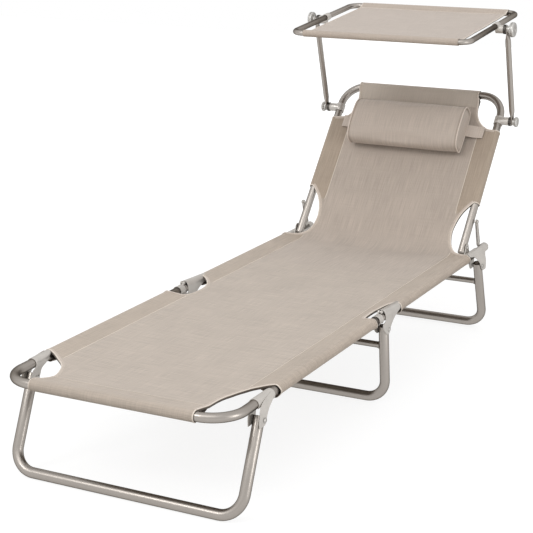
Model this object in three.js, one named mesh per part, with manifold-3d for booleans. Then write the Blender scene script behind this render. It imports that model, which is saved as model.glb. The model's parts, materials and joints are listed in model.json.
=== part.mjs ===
import * as THREE from 'three';
import { mergeVertices } from 'three/addons/utils/BufferGeometryUtils.js';
import Module from 'manifold-3d';

// Sun lounger with a canopy: foot, seat and back sections of bent tube, hinged end to end.
// Lengths are millimetres. X is across, Y runs from the foot end to the head, Z is up.
// Places along Y are measured from the foot rail until the whole lounger is centred.

// Frame tubes
const railSpacing = 562;
const railHeight = 239;
const railRadius = 11;
const footBendRadius = 72;
const footLength = 780;
const seatLength = 659;
const railTail = 53;
const hingeGap = 0.5;

// Back section
const backClearance = 2.5;
const backLength = 505;
const backBendRadius = 68;
const backTail = 18;
const backHingeRise = 22;
const backAngle = 49.5;

// Legs
const legRadius = 12.5;
const legBendRadius = 52;
const legDrop = 34;
const legTail = 8;
const frontLegSpread = 14;
const frontLegPlace = 121;
const frontLegAngle = 23.5;
const midLegSetback = 25;
const midLegAngle = -6.2;
const rearLegSpread = 20;
const rearLegSetback = 33;
const rearLegAngle = -19;
const crossbarRadius = 8;
const midCrossbarDrop = 46;
const rearCrossbarDrop = 56;

// Brackets, pins and rivets
const plate = 1.6;
const fitGap = 0.3;
const sideGap = 0.6;
const rivetRadius = 3;
const rivetHeadRadius = 6;
const rivetHead = 2.5;
const headTopShare = 0.7;
const flareHeight = 8;
const cheekTopDrop = 11;
const saddleSkirt = 3;
const saddleLead = 9;
const cheekHalf = 19;
const cheekReach = 25;
const cheekFlare = 38;
const sleeveClearance = 12;

// Middle hinge
const midHingeClearance = 5;
const midEyeRadius = 4.6;
const midPinRadius = 2.3;
const midPinHeadRadius = 4.2;
const earThickness = 5;
const knuckleReach = 30;
const knuckleInset = 7;

// Back support
const strutPlace = 86;
const strutAngle = 122;
const strutLength = 82.5;
const strutWidth = 14;
const strutThickness = 7;
const strutWall = 1.5;
const strutInset = 1.3;
const pocketLength = 44;
const plugLength = 20;

// Sling
const cloth = 1.6;
const sleeveRoom = 1;
const seamInset = 50;
const footSleeveInset = 75;
const footCutStart = 100;
const footSleeveStart = 192;
const footSleeveGap = 35;
const seatSleeveLead = 120;
const seatSleeveGap = 49;
const midCutInset = 21;
const midCutLength = 84;
const cornerEase = 6;
const backSleeveStart = 140;
const backSleeveGap = 121;
const headSleeveInset = 69.5;
const headSleeveShift = 8;
const headCutInset = 62.5;
const headCutGap = 83;
const waistInset = 42.5;

// Pillow and its strap
const pillowInset = 84.5;
const pillowHeight = 142;
const pillowThickness = 68;
const pillowGap = 146;
const pillowEndBulge = 6;
const pillowEndShare = 0.6;
const pillowCrownShare = 0.08;
const pillowCrownPower = 4;
const pillowBackShare = 0.4;
const pillowFacePower = 0.8;
const pillowBackPower = 0.55;
const strapInset = 30.5;
const strapWidth = 39;
const strapGap = 133;

// Canopy and its arms
const canopyInset = 33;
const canopyTubeRadius = 8;
const canopyBendRadius = 30;
const canopyFront = 234;
const canopyRear = 191;
const canopyRise = 8.3;
const canopyTilt = 5.5;
const canopyCloth = 1.2;
const canopyCoverInset = 27;
const canopySeamInset = 26;
const canopySleeveRoom = 0.6;
const armGap = 83;
const armOffset = 3;
const armLength = 290;
const armLean = 16.8;
const armRadius = 8;
const armSpread = 42.5;
const eyeThickness = 5;
const eyeRadius = 10;
const eyeNeck = 26;
const clampWall = 2.4;
const clampLength = 24;
const bossRadius = 12;
const boltRadius = 3;
const boltGrip = 9;
const lowerKnobRadius = 15;
const lowerKnobThickness = 14;
const upperKnobRadius = 21;
const upperKnobThickness = 20;
const knobHubRadius = 11;
const knobEdge = 3;
const knobHubShare = 0.35;

// Steps in round shapes
const tubeSides = 16;
const thinSides = 12;
const bendSteps = 6;
const arcSteps = 12;
const curveSteps = 8;
const knobSides = 24;
const pillowRings = 17;
const pillowSides = 28;

// Sizes that follow from the ones above
const half = 0.5;
const quarterTurn = Math.PI * half;
const railX = railSpacing * half;
const backX = railX - railRadius * 2 - backClearance;
const armX = backX + armSpread;
const canopyX = armX - canopyInset;
const frontLegSpacing = railSpacing + frontLegSpread;
const rearLegSpacing = railSpacing + rearLegSpread;
const boreRadius = railRadius + sleeveRoom;
const sleeveRadius = boreRadius + cloth;
const slingTop = railHeight + sleeveRadius;
const legPivotHeight = railHeight - legDrop;
const midLegPlace = footLength + midLegSetback;
const barHeight = legRadius * Math.cos(Math.PI / tubeSides);
const seatEnd = footLength + seatLength;
const rearLegPlace = seatEnd + rearLegSetback;
const backHingeHeight = railHeight + backHingeRise;
const midHingeRise = railRadius + midHingeClearance;
const midHingeHeight = railHeight + midHingeRise;
const railEnd = seatEnd + railTail;
const plugStart = railEnd + pocketLength;
const plugEnd = plugStart + plugLength;
const saddleRadius = railRadius + fitGap;
const backTurn = THREE.MathUtils.degToRad(backAngle);
const knuckleEnd = footLength - knuckleInset;
const footSleeveHalf = railX - footSleeveInset;
const footSleeveEnd = footLength - footSleeveGap;
const seatSleeveStart = footLength + seatSleeveLead;
const seatSleeveEnd = seatEnd - seatSleeveGap;
const backSleeveEnd = backLength - backSleeveGap;
const headSleeveHalf = backX - headSleeveInset;
const headCutHalf = backX - headCutInset;
const headCutStart = backLength - headCutGap;
const waistHalf = backX - waistInset;
const pillowHalf = backX - pillowInset;
const pillowPlace = backLength - pillowGap;
const strapHalf = backX - strapInset;
const strapPlace = backLength - strapGap;
const armPlace = backLength - armGap;
const canopyCoverHalf = canopyX - canopyCoverInset;

const wasm = await Module();
wasm.setup();

// Materials
function metal(color, roughness) {
  return new THREE.MeshStandardMaterial({ color, roughness, metalness: 1, flatShading: true });
}

function fabric(color) {
  return new THREE.MeshStandardMaterial({ color, roughness: 0.9, metalness: 0, flatShading: true });
}

const tubeFinish = metal(0xb9b2a6, 0.35);
const plateFinish = metal(0xc2bdb4, 0.4);
const rivetFinish = metal(0xcfcac2, 0.3);
const knobFinish = metal(0xbdb7ad, 0.35);
const slingFinish = fabric(0xbcb0a4);
const pillowFinish = fabric(0xb3a69b);
const canopyFinish = fabric(0xc4b9ae);

// Joining and cutting
function welded(geometry) {
  const bare = geometry.clone();
  bare.deleteAttribute('normal');
  bare.deleteAttribute('uv');
  return mergeVertices(bare);
}

function asManifold(geometry) {
  const bare = welded(geometry);
  return new wasm.Manifold(new wasm.Mesh({
    numProp: 3,
    vertProperties: new Float32Array(bare.attributes.position.array),
    triVerts: new Uint32Array(bare.index.array),
  }));
}

function asGeometry(manifold) {
  const mesh = manifold.getMesh();
  const geometry = new THREE.BufferGeometry();
  geometry.setAttribute('position', new THREE.BufferAttribute(mesh.vertProperties, 3));
  geometry.setIndex(new THREE.BufferAttribute(mesh.triVerts, 1));
  return geometry;
}

function join(first, ...others) {
  return asGeometry(others.reduce((sum, one) => sum.add(asManifold(one)), asManifold(first)));
}

function cut(first, ...tools) {
  return asGeometry(tools.reduce((rest, one) => rest.subtract(asManifold(one)), asManifold(first)));
}

function common(first, second) {
  return asGeometry(asManifold(first).intersect(asManifold(second)));
}

function mirrored(geometry) {
  const copy = welded(geometry);
  copy.scale(-1, 1, 1);
  const corners = copy.index.array;
  for (let i = 0; i < corners.length; i += 3) {
    [corners[i + 1], corners[i + 2]] = [corners[i + 2], corners[i + 1]];
  }
  return copy;
}

// Outlines
function ringPoints(radius, sides, turn = 0) {
  return Array.from({ length: sides }, (_, i) => {
    const angle = turn + ((i + half) * Math.PI * 2) / sides;
    return new THREE.Vector2(radius * Math.cos(angle), radius * Math.sin(angle));
  });
}

function arcPoints(x, y, radius, from, to, steps = arcSteps) {
  return Array.from({ length: steps + 1 }, (_, i) => {
    const angle = from + ((to - from) * i) / steps;
    return new THREE.Vector2(x + radius * Math.cos(angle), y + radius * Math.sin(angle));
  });
}

function curvePoints(start, control, end) {
  const bend = new THREE.QuadraticBezierCurve(
    new THREE.Vector2(...start), new THREE.Vector2(...control), new THREE.Vector2(...end));
  return bend.getPoints(curveSteps);
}

function outline(points) {
  return new THREE.Shape(points.map((p) => (p.isVector2 ? p : new THREE.Vector2(...p))));
}

function circleShape(radius, sides) {
  return new THREE.Shape(ringPoints(radius, sides));
}

// The section of a bent strip: its inner line, and the same line moved out by the thickness.
function stripShape(line, thickness) {
  const outer = line.map((p, i) => {
    const before = line[Math.max(i - 1, 0)];
    const after = line[Math.min(i + 1, line.length - 1)];
    const into = new THREE.Vector2().subVectors(i ? p : after, i ? before : p).normalize();
    const away = new THREE.Vector2().subVectors(p === after ? p : after, p === after ? before : p);
    away.normalize();
    const side = new THREE.Vector2(-into.y - away.y, into.x + away.x).normalize();
    const spread = Math.max(side.dot(new THREE.Vector2(-into.y, into.x)), half);
    return p.clone().addScaledVector(side, thickness / spread);
  });
  return outline([...line, ...outer.reverse()]);
}

// Straight extrusions
function alongX(shape, from, to) {
  const geometry = new THREE.ExtrudeGeometry(shape, { depth: to - from, bevelEnabled: false });
  const turn = new THREE.Matrix4().makeBasis(
    new THREE.Vector3(0, 1, 0), new THREE.Vector3(0, 0, 1), new THREE.Vector3(1, 0, 0));
  return geometry.applyMatrix4(turn).translate(from, 0, 0);
}

function alongY(shape, from, to) {
  const geometry = new THREE.ExtrudeGeometry(shape, { depth: to - from, bevelEnabled: false });
  return geometry.rotateX(quarterTurn).translate(0, to, 0);
}

function alongZ(shape, from, to) {
  const geometry = new THREE.ExtrudeGeometry(shape, { depth: to - from, bevelEnabled: false });
  return geometry.translate(0, 0, from);
}

function rodX(radius, from, to, y, z, sides = thinSides) {
  return alongX(circleShape(radius, sides), from, to).translate(0, y, z);
}

function rodY(radius, from, to, x, z, sides = tubeSides) {
  return alongY(circleShape(radius, sides), from, to).translate(x, 0, z);
}

// A route in one plane: straight runs and round bends, with steps only in the bends.
class BentRoute extends THREE.Curve {
  constructor(corners, bendRadius, normal) {
    super();
    this.normal = normal;
    this.stations = [];
    corners.forEach((corner, i) => {
      if (i === 0 || i === corners.length - 1) {
        const ends = i === 0 ? [corner, corners[1]] : [corners[i - 1], corner];
        this.addStation(corner, new THREE.Vector3().subVectors(ends[1], ends[0]).normalize());
        return;
      }
      this.addBend(corners[i - 1], corner, corners[i + 1], bendRadius);
    });
  }

  addStation(point, tangent) {
    this.stations.push({ point: point.clone(), tangent: tangent.clone() });
  }

  addBend(before, corner, after, bendRadius) {
    const into = new THREE.Vector3().subVectors(corner, before).normalize();
    const out = new THREE.Vector3().subVectors(after, corner).normalize();
    const turn = into.angleTo(out);
    const axis = new THREE.Vector3().crossVectors(into, out).normalize();
    const start = corner.clone().addScaledVector(into, -bendRadius * Math.tan(turn * half));
    const centre = start.clone().addScaledVector(axis.clone().cross(into), bendRadius);
    for (let k = 0; k <= bendSteps; k += 1) {
      const angle = (turn * k) / bendSteps;
      const point = start.clone().sub(centre).applyAxisAngle(axis, angle).add(centre);
      this.addStation(point, into.clone().applyAxisAngle(axis, angle));
    }
  }

  get steps() {
    return this.stations.length - 1;
  }

  station(t) {
    return this.stations[Math.round(t * this.steps)];
  }

  getPoint(t, target = new THREE.Vector3()) {
    return target.copy(this.station(t).point);
  }

  getPointAt(u, target) {
    return this.getPoint(u, target);
  }

  getTangentAt(u, target = new THREE.Vector3()) {
    return target.copy(this.station(u).tangent);
  }

  computeFrenetFrames(segments) {
    const tangents = Array.from({ length: segments + 1 }, (_, i) => this.getTangentAt(i / segments));
    const normals = tangents.map(() => this.normal.clone());
    const binormals = tangents.map((t) => new THREE.Vector3().crossVectors(t, this.normal));
    return { tangents, normals, binormals };
  }
}

function bentTube(corners, bendRadius, radius, normal, turn = 0) {
  const route = new BentRoute(corners.map((c) => new THREE.Vector3(...c)), bendRadius, normal);
  const section = new THREE.Shape(ringPoints(radius, tubeSides, turn));
  return new THREE.ExtrudeGeometry(section, { steps: route.steps, extrudePath: route });
}

// A rivet along X from one plate to another, with a head on each side.
function rivet(from, to, radius, headRadius, head) {
  const profile = [
    [0, from - head], [headRadius * headTopShare, from - head], [headRadius, from - head * half],
    [headRadius, from], [radius, from], [radius, to], [headRadius, to],
    [headRadius, to + head * half], [headRadius * headTopShare, to + head], [0, to + head],
  ];
  const points = profile.map((p) => new THREE.Vector2(...p));
  return new THREE.LatheGeometry(points, thinSides).rotateZ(-quarterTurn);
}

// Frame tubes
function footFrame() {
  const end = footLength - hingeGap;
  const corners = [[-railX, end, 0], [-railX, 0, 0], [railX, 0, 0], [railX, end, 0]];
  const up = new THREE.Vector3(0, 0, 1);
  return bentTube(corners, footBendRadius, railRadius, up).translate(0, 0, railHeight);
}

function seatRail() {
  return rodY(railRadius, footLength + hingeGap, railEnd, railX, railHeight);
}

function railPlug() {
  return rodY(railRadius, plugStart + fitGap, plugEnd, railX, railHeight);
}

// The back frame lies flat here, with its hinge at the origin, before the back is raised.
function backFrame() {
  const corners = [
    [-backX, -backTail, 0], [-backX, backLength, 0], [backX, backLength, 0], [backX, -backTail, 0],
  ];
  const tube = bentTube(corners, backBendRadius, railRadius, new THREE.Vector3(0, 0, 1));
  const reach = backX + railRadius * 2;
  const drill = rivetRadius + fitGap;
  const blind = backX - railRadius * half;
  const holes = [0, strutPlace].flatMap((y) => [
    rodX(drill, blind, reach, y, 0), rodX(drill, -reach, -blind, y, 0)]);
  return cut(tube, ...holes);
}

// A leg hangs straight down here from its pivot at the origin, before it leans.
function legLength(lean) {
  return (legPivotHeight - barHeight) / Math.cos(THREE.MathUtils.degToRad(lean));
}

function leg(spacing, lean) {
  const x = spacing * half;
  const length = legLength(lean);
  const corners = [[-x, 0, legTail], [-x, 0, -length], [x, 0, -length], [x, 0, legTail]];
  const turn = THREE.MathUtils.degToRad(lean);
  const tube = bentTube(corners, legBendRadius, legRadius, new THREE.Vector3(0, 1, 0), turn);
  const reach = x + legRadius * 2;
  return cut(tube, rodX(rivetRadius + fitGap, -reach, reach, 0, 0));
}

function legCrossbar(spacing, drop) {
  const x = spacing * half;
  const bar = rodX(crossbarRadius, -x, x, 0, -drop);
  const socket = circleShape(legRadius + fitGap, tubeSides);
  const reach = crossbarRadius * 2;
  const sockets = [-x, x].map((at) => alongZ(socket, -drop - reach, -drop + reach).translate(at, 0, 0));
  return cut(bar, ...sockets);
}

// Brackets: a bent strip over the rail, cut to its side view. They are made for the right side.
function bracketStrip(legX, from, to, bottom) {
  const inner = legX - legRadius - sideGap;
  const outer = legX + legRadius + sideGap;
  const neck = -cheekTopDrop;
  const low = neck - flareHeight;
  const line = [
    new THREE.Vector2(inner, bottom), new THREE.Vector2(inner, low),
    new THREE.Vector2(railX - saddleRadius, neck),
    ...arcPoints(railX, 0, saddleRadius, Math.PI, 0),
    new THREE.Vector2(railX + saddleRadius, neck),
    new THREE.Vector2(outer, low), new THREE.Vector2(outer, bottom),
  ];
  return alongY(stripShape(line, plate), from, to).translate(0, 0, railHeight);
}

function sideCut(points) {
  const reach = railX * 2;
  return alongX(outline(points), 0, reach).translate(0, 0, railHeight);
}

function legRivetHole(place) {
  return rodX(rivetRadius + fitGap, 0, railX * 2, place, legPivotHeight);
}

function legRivet(spacing) {
  const x = spacing * half;
  const reach = legRadius + sideGap + plate + fitGap;
  return rivet(x - reach, x + reach, rivetRadius, rivetHeadRadius, rivetHead);
}

function frontBracket() {
  const start = frontLegPlace - saddleLead;
  const end = footSleeveStart - saddleSkirt;
  const tip = legDrop + legRadius;
  const top = saddleRadius + plate * 2;
  const front = frontLegPlace - cheekReach;
  const side = [
    [start, top], [start, -saddleSkirt],
    ...curvePoints([start, -saddleSkirt], [front, -saddleSkirt], [front, -legDrop]),
    [front, -tip], [frontLegPlace, -tip], [frontLegPlace + rivetHeadRadius, -legDrop],
    ...curvePoints(
      [frontLegPlace + cheekReach, -cheekTopDrop], [frontLegPlace + cheekFlare, 0], [end, 0]),
    [end, top],
  ];
  const strip = bracketStrip(frontLegSpacing * half, front, end, -tip - legRadius);
  return cut(common(strip, sideCut(side)), legRivetHole(frontLegPlace));
}

function ear(from, to, hingeY, saddleY) {
  const rise = midHingeRise;
  const foot = saddleRadius + fitGap;
  const towards = Math.sign(saddleY - hingeY);
  const flank = [
    [hingeY, rise + midEyeRadius], [saddleY, foot + plate], [saddleY, foot],
    [hingeY + towards * midEyeRadius, rise - midEyeRadius * half], [hingeY, rise],
  ];
  const points = towards > 0 ? flank.reverse() : flank;
  const web = alongX(outline(points), from, to);
  const eye = rodX(midEyeRadius, from, to, hingeY, rise, tubeSides);
  return join(web, eye).translate(0, 0, railHeight);
}

function midPinHole() {
  return rodX(midPinRadius + fitGap, 0, railX * 2, footLength, midHingeHeight);
}

function midBracket() {
  const start = footLength + knuckleInset;
  const end = seatSleeveStart - saddleSkirt;
  const tip = legDrop + legRadius;
  const top = saddleRadius + plate * 2;
  const low = -cheekTopDrop - flareHeight;
  const side = [
    [start, top], [start, -cheekTopDrop], [footLength - legRadius, -cheekTopDrop],
    [footLength - saddleSkirt, low], [midLegPlace - cheekHalf, -tip],
    [midLegPlace + saddleSkirt, -tip], [midLegPlace + rivetHeadRadius, -legDrop],
    ...curvePoints(
      [midLegPlace + rivetHeadRadius, -legDrop], [midLegPlace + cheekReach, -cheekTopDrop],
      [end - cheekReach, -saddleSkirt]),
    [end, -saddleSkirt], [end, top],
  ];
  const strip = bracketStrip(railX, footLength - legRadius, end, -tip - legRadius);
  const stamped = common(strip, sideCut(side));
  const lug = ear(railX + hingeGap, railX + hingeGap + earThickness, footLength, start + plate);
  return cut(join(stamped, lug), legRivetHole(midLegPlace), midPinHole());
}

function footKnuckle() {
  const line = arcPoints(railX, 0, saddleRadius, Math.PI + quarterTurn * half, -quarterTurn * half);
  const start = footLength - knuckleReach;
  const saddle = alongY(stripShape(line, plate), start, knuckleEnd).translate(0, 0, railHeight);
  const lug = ear(railX - hingeGap - earThickness, railX - hingeGap, footLength, knuckleEnd - plate);
  return cut(join(saddle, lug), midPinHole());
}

function midHingePin() {
  const reach = hingeGap + earThickness + fitGap;
  return rivet(-reach, reach, midPinRadius, midPinHeadRadius, rivetHead * half);
}

function rearBracket() {
  const start = seatSleeveEnd + sleeveClearance;
  const tip = legDrop + legRadius + saddleSkirt;
  const top = saddleRadius + plate * 2;
  const outerX = railX;
  const side = [
    [start, top], [start, -saddleSkirt], [rearLegPlace - cheekReach, -saddleSkirt * 2],
    [rearLegPlace - legRadius, -legDrop], [rearLegPlace - legRadius, -tip],
    [rearLegPlace + legRadius, -tip],
    ...curvePoints(
      [rearLegPlace + legRadius, -legDrop], [rearLegPlace + cheekHalf, -cheekTopDrop],
      [plugStart, -cheekTopDrop]),
    [plugEnd - saddleSkirt, -cheekTopDrop],
    [plugEnd, -saddleSkirt], [plugEnd, top],
  ];
  const line = [
    new THREE.Vector2(railX - saddleRadius, -tip - plate),
    ...arcPoints(railX, 0, saddleRadius, Math.PI, 0),
    new THREE.Vector2(railX + saddleRadius, -cheekTopDrop),
    new THREE.Vector2(rearLegSpacing * half + legRadius + sideGap, -cheekTopDrop - flareHeight),
    new THREE.Vector2(rearLegSpacing * half + legRadius + sideGap, -tip - plate),
  ];
  const strip = alongY(stripShape(line, plate), start, plugEnd).translate(0, 0, railHeight);
  const pocket = alongY(outline([
    [railX - saddleRadius, 0], [railX + saddleRadius, 0],
    [railX + saddleRadius, top], [railX - saddleRadius, top],
  ]), railEnd, plugStart).translate(0, 0, railHeight);
  const rim = alongY(outline([
    [0, railRadius * half], [outerX * 2, railRadius * half], [outerX * 2, top], [0, top],
  ]), railEnd, plugStart).translate(0, 0, railHeight);
  const stamped = cut(common(strip, sideCut(side)), pocket, rim);
  return cut(join(stamped, hingeEar()), legRivetHole(rearLegPlace), backPinHole());
}

// The upright ear beside the rail that the back section turns on.
function hingeEar() {
  const radius = railRadius + plate;
  const foot = radius * 2;
  const points = [
    ...arcPoints(seatEnd, backHingeRise, radius, 0, Math.PI),
    [seatEnd - foot, -saddleSkirt], [seatEnd + foot, -saddleSkirt],
  ];
  const inner = railX - saddleRadius;
  return alongX(outline(points), inner - plate, inner).translate(0, 0, railHeight);
}

function backPinHole() {
  const inner = railX - saddleRadius;
  return rodX(rivetRadius + fitGap, inner - plate * 2, inner + plate, seatEnd, backHingeHeight);
}

// A headed pin along X that starts inside one tube and ends in a head outside another piece.
function headedPin(from, to) {
  const profile = [
    [0, from], [rivetRadius, from], [rivetRadius, to], [rivetHeadRadius, to],
    [rivetHeadRadius, to + rivetHead * half], [rivetHeadRadius * headTopShare, to + rivetHead],
    [0, to + rivetHead],
  ];
  const points = profile.map((p) => new THREE.Vector2(...p));
  return new THREE.LatheGeometry(points, thinSides).rotateZ(-quarterTurn);
}

function backHingePin() {
  return headedPin(backX, railX - saddleRadius + fitGap);
}

const strutInner = railX - saddleRadius + strutInset;
const strutOuter = strutInner + strutThickness;

function strutPin() {
  return headedPin(backX, strutOuter + fitGap);
}

// A channel-section strut along +Y from its pivot at the origin.
function strut() {
  const r = strutWidth * half;
  const end = strutLength - r;
  const body = alongX(outline([
    ...arcPoints(end, 0, r, -quarterTurn, quarterTurn),
    ...arcPoints(0, 0, r, quarterTurn, Math.PI + quarterTurn),
  ]), strutInner, strutOuter);
  const hollow = alongX(outline([
    [r, -r * 2], [end - r * half, -r * 2], [end - r * half, r - strutWall], [r, r - strutWall],
  ]), strutInner + strutWall, strutOuter - strutWall);
  const hole = rodX(rivetRadius + fitGap, strutInner - plate, strutOuter + plate, 0, 0);
  return cut(body, hollow, hole);
}

// Sling pieces: a hem goes round the tube and down to a seam, with the bore left open.
function hemShape(radius, bore, thickness, inset) {
  const seam = new THREE.Vector2(-inset, radius - thickness);
  const swing = Math.acos(radius / seam.length());
  const end = seam.angle() + swing - Math.PI * 2;
  const shape = outline([
    [-inset, radius], ...arcPoints(0, 0, radius, quarterTurn, end), seam,
  ].reverse());
  shape.holes.push(new THREE.Path(ringPoints(bore, tubeSides)));
  return shape;
}

function sideHem(x, from, to) {
  return alongY(hemShape(sleeveRadius, boreRadius, cloth, seamInset), from, to).translate(x, 0, 0);
}

function endHem(shape, halfWidth, y) {
  const hem = alongY(shape, -halfWidth, halfWidth);
  return hem.rotateZ(-quarterTurn).translate(0, y, 0);
}

// A sheet from its plan: each side's edge is given from the foot end to the head end.
function planSheet(rightEdge, bottom, top, leftEdge = rightEdge) {
  const asPoints = (edge) => edge.map((p) => (p.isVector2 ? p : new THREE.Vector2(...p)));
  const left = asPoints(leftEdge).map((p) => new THREE.Vector2(-p.x, p.y)).reverse();
  return alongZ(outline([...asPoints(rightEdge), ...left]), bottom, top);
}

function bothSides(geometry) {
  return [geometry, mirrored(geometry)];
}

function footSling() {
  const endHemX = railX - midCutInset;
  const end = footLength - hingeGap;
  const sheet = planSheet([
    [footSleeveHalf, 0], [footSleeveHalf, footCutStart],
    ...curvePoints(
      [footSleeveHalf, footCutStart], [footSleeveHalf + cornerEase, footSleeveStart - midCutInset],
      [railX - seamInset * half, footSleeveStart]),
    [railX, footSleeveStart], [railX, footSleeveEnd],
    ...curvePoints([railX, footSleeveEnd], [endHemX, footSleeveEnd], [endHemX, end - midCutInset]),
    [endHemX, end],
  ], boreRadius, sleeveRadius);
  const sides = bothSides(sideHem(railX, footSleeveStart, footSleeveEnd));
  const shape = hemShape(sleeveRadius, boreRadius, cloth, seamInset);
  const foot = endHem(shape, footSleeveHalf, 0);
  return join(sheet, ...sides, foot).translate(0, 0, railHeight);
}

// Where the seat sheet meets the back sheet, in the side view.
const creaseDrop = (backHingeHeight - slingTop + sleeveRadius * Math.cos(backTurn)) / Math.sin(backTurn);
const creaseY = seatEnd - sleeveRadius * Math.sin(backTurn) - creaseDrop * Math.cos(backTurn);
const creaseRun = creaseY - seatSleeveEnd;
const creaseRadius = creaseRun / Math.tan(backTurn * half);

function seatSling() {
  const start = footLength + hingeGap;
  const midX = railX - midCutInset;
  const sheet = planSheet([
    [midX, start],
    ...curvePoints(
      [midX, start + midCutLength], [midX, seatSleeveStart], [railX, seatSleeveStart]),
    [railX, seatSleeveEnd], [waistHalf, seatSleeveEnd],
  ], boreRadius, sleeveRadius).translate(0, 0, railHeight);
  const sides = bothSides(sideHem(railX, seatSleeveStart, seatSleeveEnd).translate(0, 0, railHeight));
  const middle = backTurn * half - hingeGap / creaseRadius;
  const bend = arcPoints(
    seatSleeveEnd, slingTop + creaseRadius, creaseRadius, -quarterTurn, middle - quarterTurn, curveSteps);
  const line = [new THREE.Vector2(seatSleeveEnd - seamInset, slingTop), ...bend];
  const turnUp = alongX(stripShape(line.reverse(), cloth), -waistHalf, waistHalf);
  return join(sheet, ...sides, turnUp);
}

// The back sling lies flat here like the back frame; its front face is up.
function backSling() {
  const waist = -creaseDrop + creaseRun;
  const edge = (shift) => [
    [waistHalf, waist], [waistHalf, backSleeveStart * half],
    ...curvePoints(
      [waistHalf, backSleeveStart * half], [waistHalf + cloth, backSleeveStart - midCutInset],
      [backX, backSleeveStart]),
    [backX, backSleeveEnd],
    ...curvePoints(
      [backX, backSleeveEnd], [headCutHalf + shift, backSleeveEnd + cloth],
      [headCutHalf + shift, headCutStart]),
    [headSleeveHalf + shift, backLength],
  ];
  const sheet = planSheet(edge(-headSleeveShift), boreRadius, sleeveRadius, edge(headSleeveShift));
  const sides = bothSides(sideHem(backX, backSleeveStart, backSleeveEnd));
  const shape = hemShape(sleeveRadius, boreRadius, cloth, seamInset);
  const head = endHem(shape, headSleeveHalf, 0).rotateZ(Math.PI);
  head.translate(-headSleeveShift, backLength, 0);
  const middle = backTurn * half - hingeGap / creaseRadius;
  const bend = arcPoints(
    waist, sleeveRadius + creaseRadius, creaseRadius, -quarterTurn, -quarterTurn - middle, curveSteps);
  const line = [new THREE.Vector2(waist + seamInset * half, sleeveRadius), ...bend];
  const turnUp = alongX(stripShape(line, cloth), -waistHalf, waistHalf);
  return join(sheet, ...sides, head, turnUp);
}

function pillowStrap() {
  const bottom = sleeveRadius + fitGap;
  const from = strapPlace - strapWidth * half;
  return planSheet([[strapHalf, from], [strapHalf, from + strapWidth]], bottom, bottom + cloth);
}

// A section of the pillow at one place across, as a ring of points.
function pillowRing(x, size) {
  const power = (value, exponent) => Math.sign(value) * Math.abs(value) ** exponent;
  return Array.from({ length: pillowSides }, (_, i) => {
    const angle = (i * Math.PI * 2) / pillowSides;
    const facing = Math.sin(angle) > 0;
    const exponent = facing ? pillowFacePower : pillowBackPower;
    const reach = facing ? 1 - pillowBackShare : pillowBackShare;
    const y = pillowHeight * half * power(Math.cos(angle), exponent) * size;
    const z = pillowThickness * (pillowBackShare + reach * power(Math.sin(angle), exponent) * size);
    return [x, pillowPlace + y, z];
  });
}

// A half-round bolster with a crowned face, drawn in towards its ends.
function pillow() {
  const last = pillowRings - 1;
  const rings = Array.from({ length: pillowRings }, (_, i) => {
    const t = -Math.cos((i * Math.PI) / last);
    return pillowRing(pillowHalf * t, 1 - pillowCrownShare * t ** pillowCrownPower);
  });
  const bulge = pillowHalf + pillowEndBulge * (1 - pillowEndShare ** 2);
  rings.unshift(pillowRing(-bulge, pillowEndShare));
  rings.push(pillowRing(bulge, pillowEndShare));
  const positions = rings.flat(2);
  const middle = [pillowPlace, pillowThickness * pillowBackShare];
  const tip = pillowHalf + pillowEndBulge;
  positions.push(-tip, ...middle, tip, ...middle);
  const rise = sleeveRadius + cloth + fitGap * 2;
  return stitched(positions, rings.length, pillowSides).translate(0, 0, rise);
}

function stitched(positions, ringCount, sides) {
  const faces = [];
  const at = (ringIndex, i) => ringIndex * sides + (i % sides);
  for (let r = 0; r + 1 < ringCount; r += 1) {
    for (let i = 0; i < sides; i += 1) {
      faces.push(at(r, i), at(r, i + 1), at(r + 1, i + 1));
      faces.push(at(r, i), at(r + 1, i + 1), at(r + 1, i));
    }
  }
  const firstTip = ringCount * sides;
  for (let i = 0; i < sides; i += 1) {
    faces.push(firstTip, at(0, i + 1), at(0, i));
    faces.push(firstTip + 1, at(ringCount - 1, i), at(ringCount - 1, i + 1));
  }
  const geometry = new THREE.BufferGeometry();
  geometry.setAttribute('position', new THREE.Float32BufferAttribute(positions, 3));
  geometry.setIndex(faces);
  return geometry;
}

// Canopy parts lie level here, with the canopy pivot at the origin.
function canopyTube(reach) {
  const joint = Math.sign(reach) * hingeGap;
  const corners = [[-canopyX, joint, 0], [-canopyX, reach, 0], [canopyX, reach, 0], [canopyX, joint, 0]];
  const tube = bentTube(corners, canopyBendRadius, canopyTubeRadius, new THREE.Vector3(0, 0, 1));
  return tube.translate(0, 0, canopyRise);
}

function canopyCover() {
  const bore = canopyTubeRadius + canopySleeveRoom;
  const outer = bore + canopyCloth;
  const sheet = planSheet([
    [canopyCoverHalf, -canopyFront], [canopyCoverHalf, canopyRear],
  ], bore, outer);
  const shape = hemShape(outer, bore, canopyCloth, canopySeamInset);
  const front = endHem(shape, canopyCoverHalf, -canopyFront);
  const rear = endHem(shape, canopyCoverHalf, 0).rotateZ(Math.PI).translate(0, canopyRear, 0);
  return join(sheet, front, rear).translate(0, 0, canopyRise);
}

const eyeInner = armX - eyeThickness * half;
const eyeOuter = armX + eyeThickness * half;

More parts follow.
